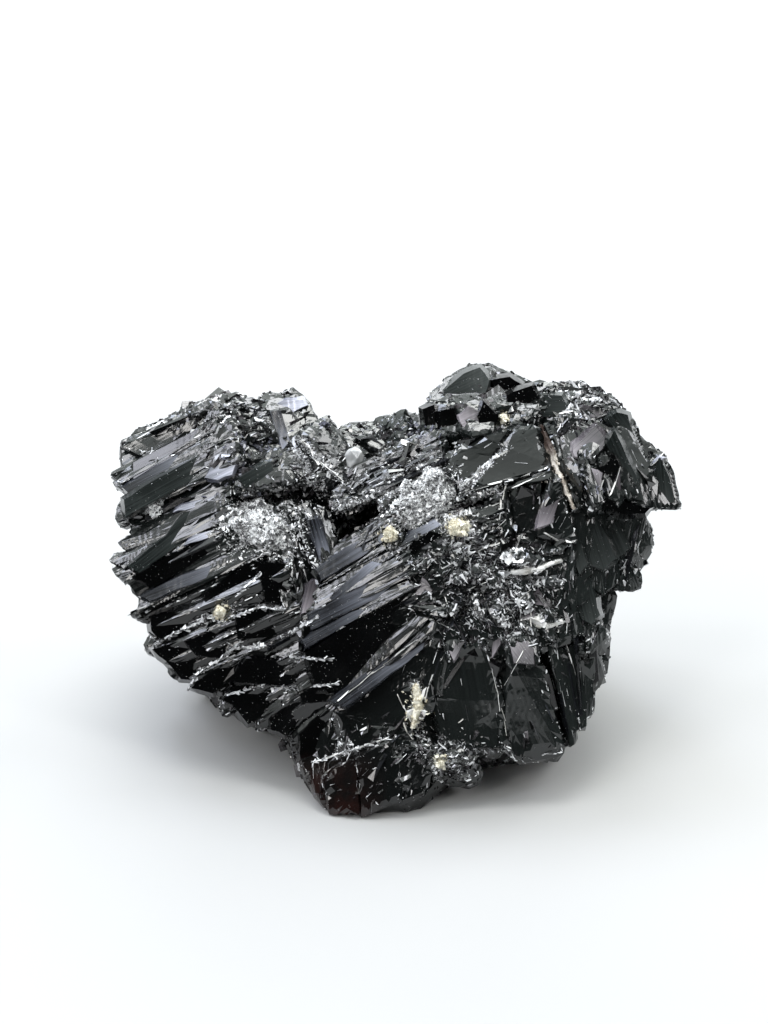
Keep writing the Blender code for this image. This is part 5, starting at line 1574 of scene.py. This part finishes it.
def make_floor():
    """A large flat square on the level that the specimen rests on."""
    half = 4000.0
    corners = ((-half, -half), (half, -half), (half, half), (-half, half))
    points = np.array([[*corner, FLOOR_LEVEL] for corner in corners])
    mesh = bpy.data.meshes.new("floor")
    mesh.from_pydata((points * MM).tolist(), [], [[0, 1, 2, 3]])
    _, shader = new_material("pale_floor", Roughness=0.9)
    shader.inputs["Base Color"].default_value = (0.32, 0.32, 0.32, 1.0)
    mesh.materials.append(MATERIALS["pale_floor"])
    floor = bpy.data.objects.new("floor", mesh)
    bpy.context.scene.collection.objects.link(floor)


def place_towards(obj, spot, target):
    """Puts the object at the spot and turns it to look at the target, both in millimetres."""
    obj.location = Vector(spot) * MM
    obj.rotation_euler = (Vector(target) * MM - Vector(spot) * MM).to_track_quat("-Z", "Y").to_euler()


BOX_DISTANCE = 900
LIT_MIDDLE = (0.0, 0.0, 25.0)


def soft_box(name, azimuth, elevation, width, height, radiance, colour):
    """A rectangular light that looks at the specimen. Azimuth 0 is the camera's side, and 180 is behind."""
    lamp = bpy.data.lights.new(name, "AREA")
    lamp.shape = "RECTANGLE"
    lamp.size, lamp.size_y = width * MM, height * MM
    lamp.energy = radiance * math.pi * lamp.size * lamp.size_y
    lamp.color = colour
    obj = bpy.data.objects.new(name, lamp)
    bpy.context.scene.collection.objects.link(obj)
    a, e = math.radians(azimuth), math.radians(elevation)
    way = Vector((math.sin(a) * math.cos(e), -math.cos(a) * math.cos(e), math.sin(e)))
    place_towards(obj, Vector(LIT_MIDDLE) + BOX_DISTANCE * way, LIT_MIDDLE)


make_floor()
camera = bpy.data.objects.new("camera", bpy.data.cameras.new("camera"))
bpy.context.scene.collection.objects.link(camera)
camera.data.lens = 300.0
camera.data.clip_end = 20.0
AIM = to_part([42.6, 46.2, 0.0])
FRAME_HEIGHT = 153.6
DISTANCE = FRAME_HEIGHT * camera.data.lens / camera.data.sensor_width
place_towards(camera, AIM + FACE_OUT * DISTANCE, AIM)
bpy.context.scene.camera = camera

# azimuth and elevation in degrees, width and height in millimetres, radiance and colour
SOFT_BOXES = {
    "box_above": (180, 84, 420, 240, 12.0, (1.0, 1.0, 0.98)),
    "box_behind": (180, 58, 320, 220, 11.0, (0.95, 0.96, 1.0)),
    "wall_behind": (178, 26, 640, 280, 6.0, (0.97, 1.0, 0.99)),
    "wall_behind_right": (128, 36, 420, 420, 6.5, (1.0, 1.0, 1.0)),
    "box_behind_left": (215, 52, 220, 350, 12.0, (0.76, 0.82, 1.0)),
    "strip_far_left": (245, 47, 150, 420, 10.0, (0.80, 0.84, 1.0)),
    "strip_left": (272, 50, 130, 480, 9.0, (0.96, 0.95, 1.0)),
    "strip_near_left": (297, 45, 110, 480, 9.0, (0.88, 0.89, 1.0)),
    "strip_front_left": (322, 36, 140, 450, 10.0, (1.0, 0.98, 0.96)),
    "strip_right": (60, 38, 150, 450, 10.0, (1.0, 1.0, 1.0)),
    "strip_far_right": (98, 45, 120, 360, 9.0, (0.95, 0.97, 1.0)),
}
for name, box in SOFT_BOXES.items():
    soft_box(name, *box)
print(len(SOFT_BOXES), "soft boxes")


ROOM_WAY = (-0.20, 0.45, 0.87)  # the lightest part of the room


def make_room():
    """A room that is dark on the camera's side and grows lighter upwards and behind: the light from a
    direction rises smoothly with its agreement with the way up and back."""
    world = bpy.data.worlds.new("room")
    bpy.context.scene.world = world
    world.use_nodes = True
    tree = world.node_tree
    way = add_node(tree, "TexCoord").outputs["Generated"]
    agree = tree.nodes.new("ShaderNodeVectorMath")
    agree.operation = "DOT_PRODUCT"
    agree.inputs[1].default_value = ROOM_WAY
    tree.links.new(way, agree.inputs[0])
    light = ramp_of(tree, agree.outputs["Value"], 0.25, 0.92, 0.030, 2.1)
    background = tree.nodes["Background"]
    background.inputs["Color"].default_value = (0.93, 1.0, 0.97, 1.0)
    tree.links.new(light, background.inputs["Strength"])


make_room()
bpy.context.scene.view_settings.view_transform = "Standard"
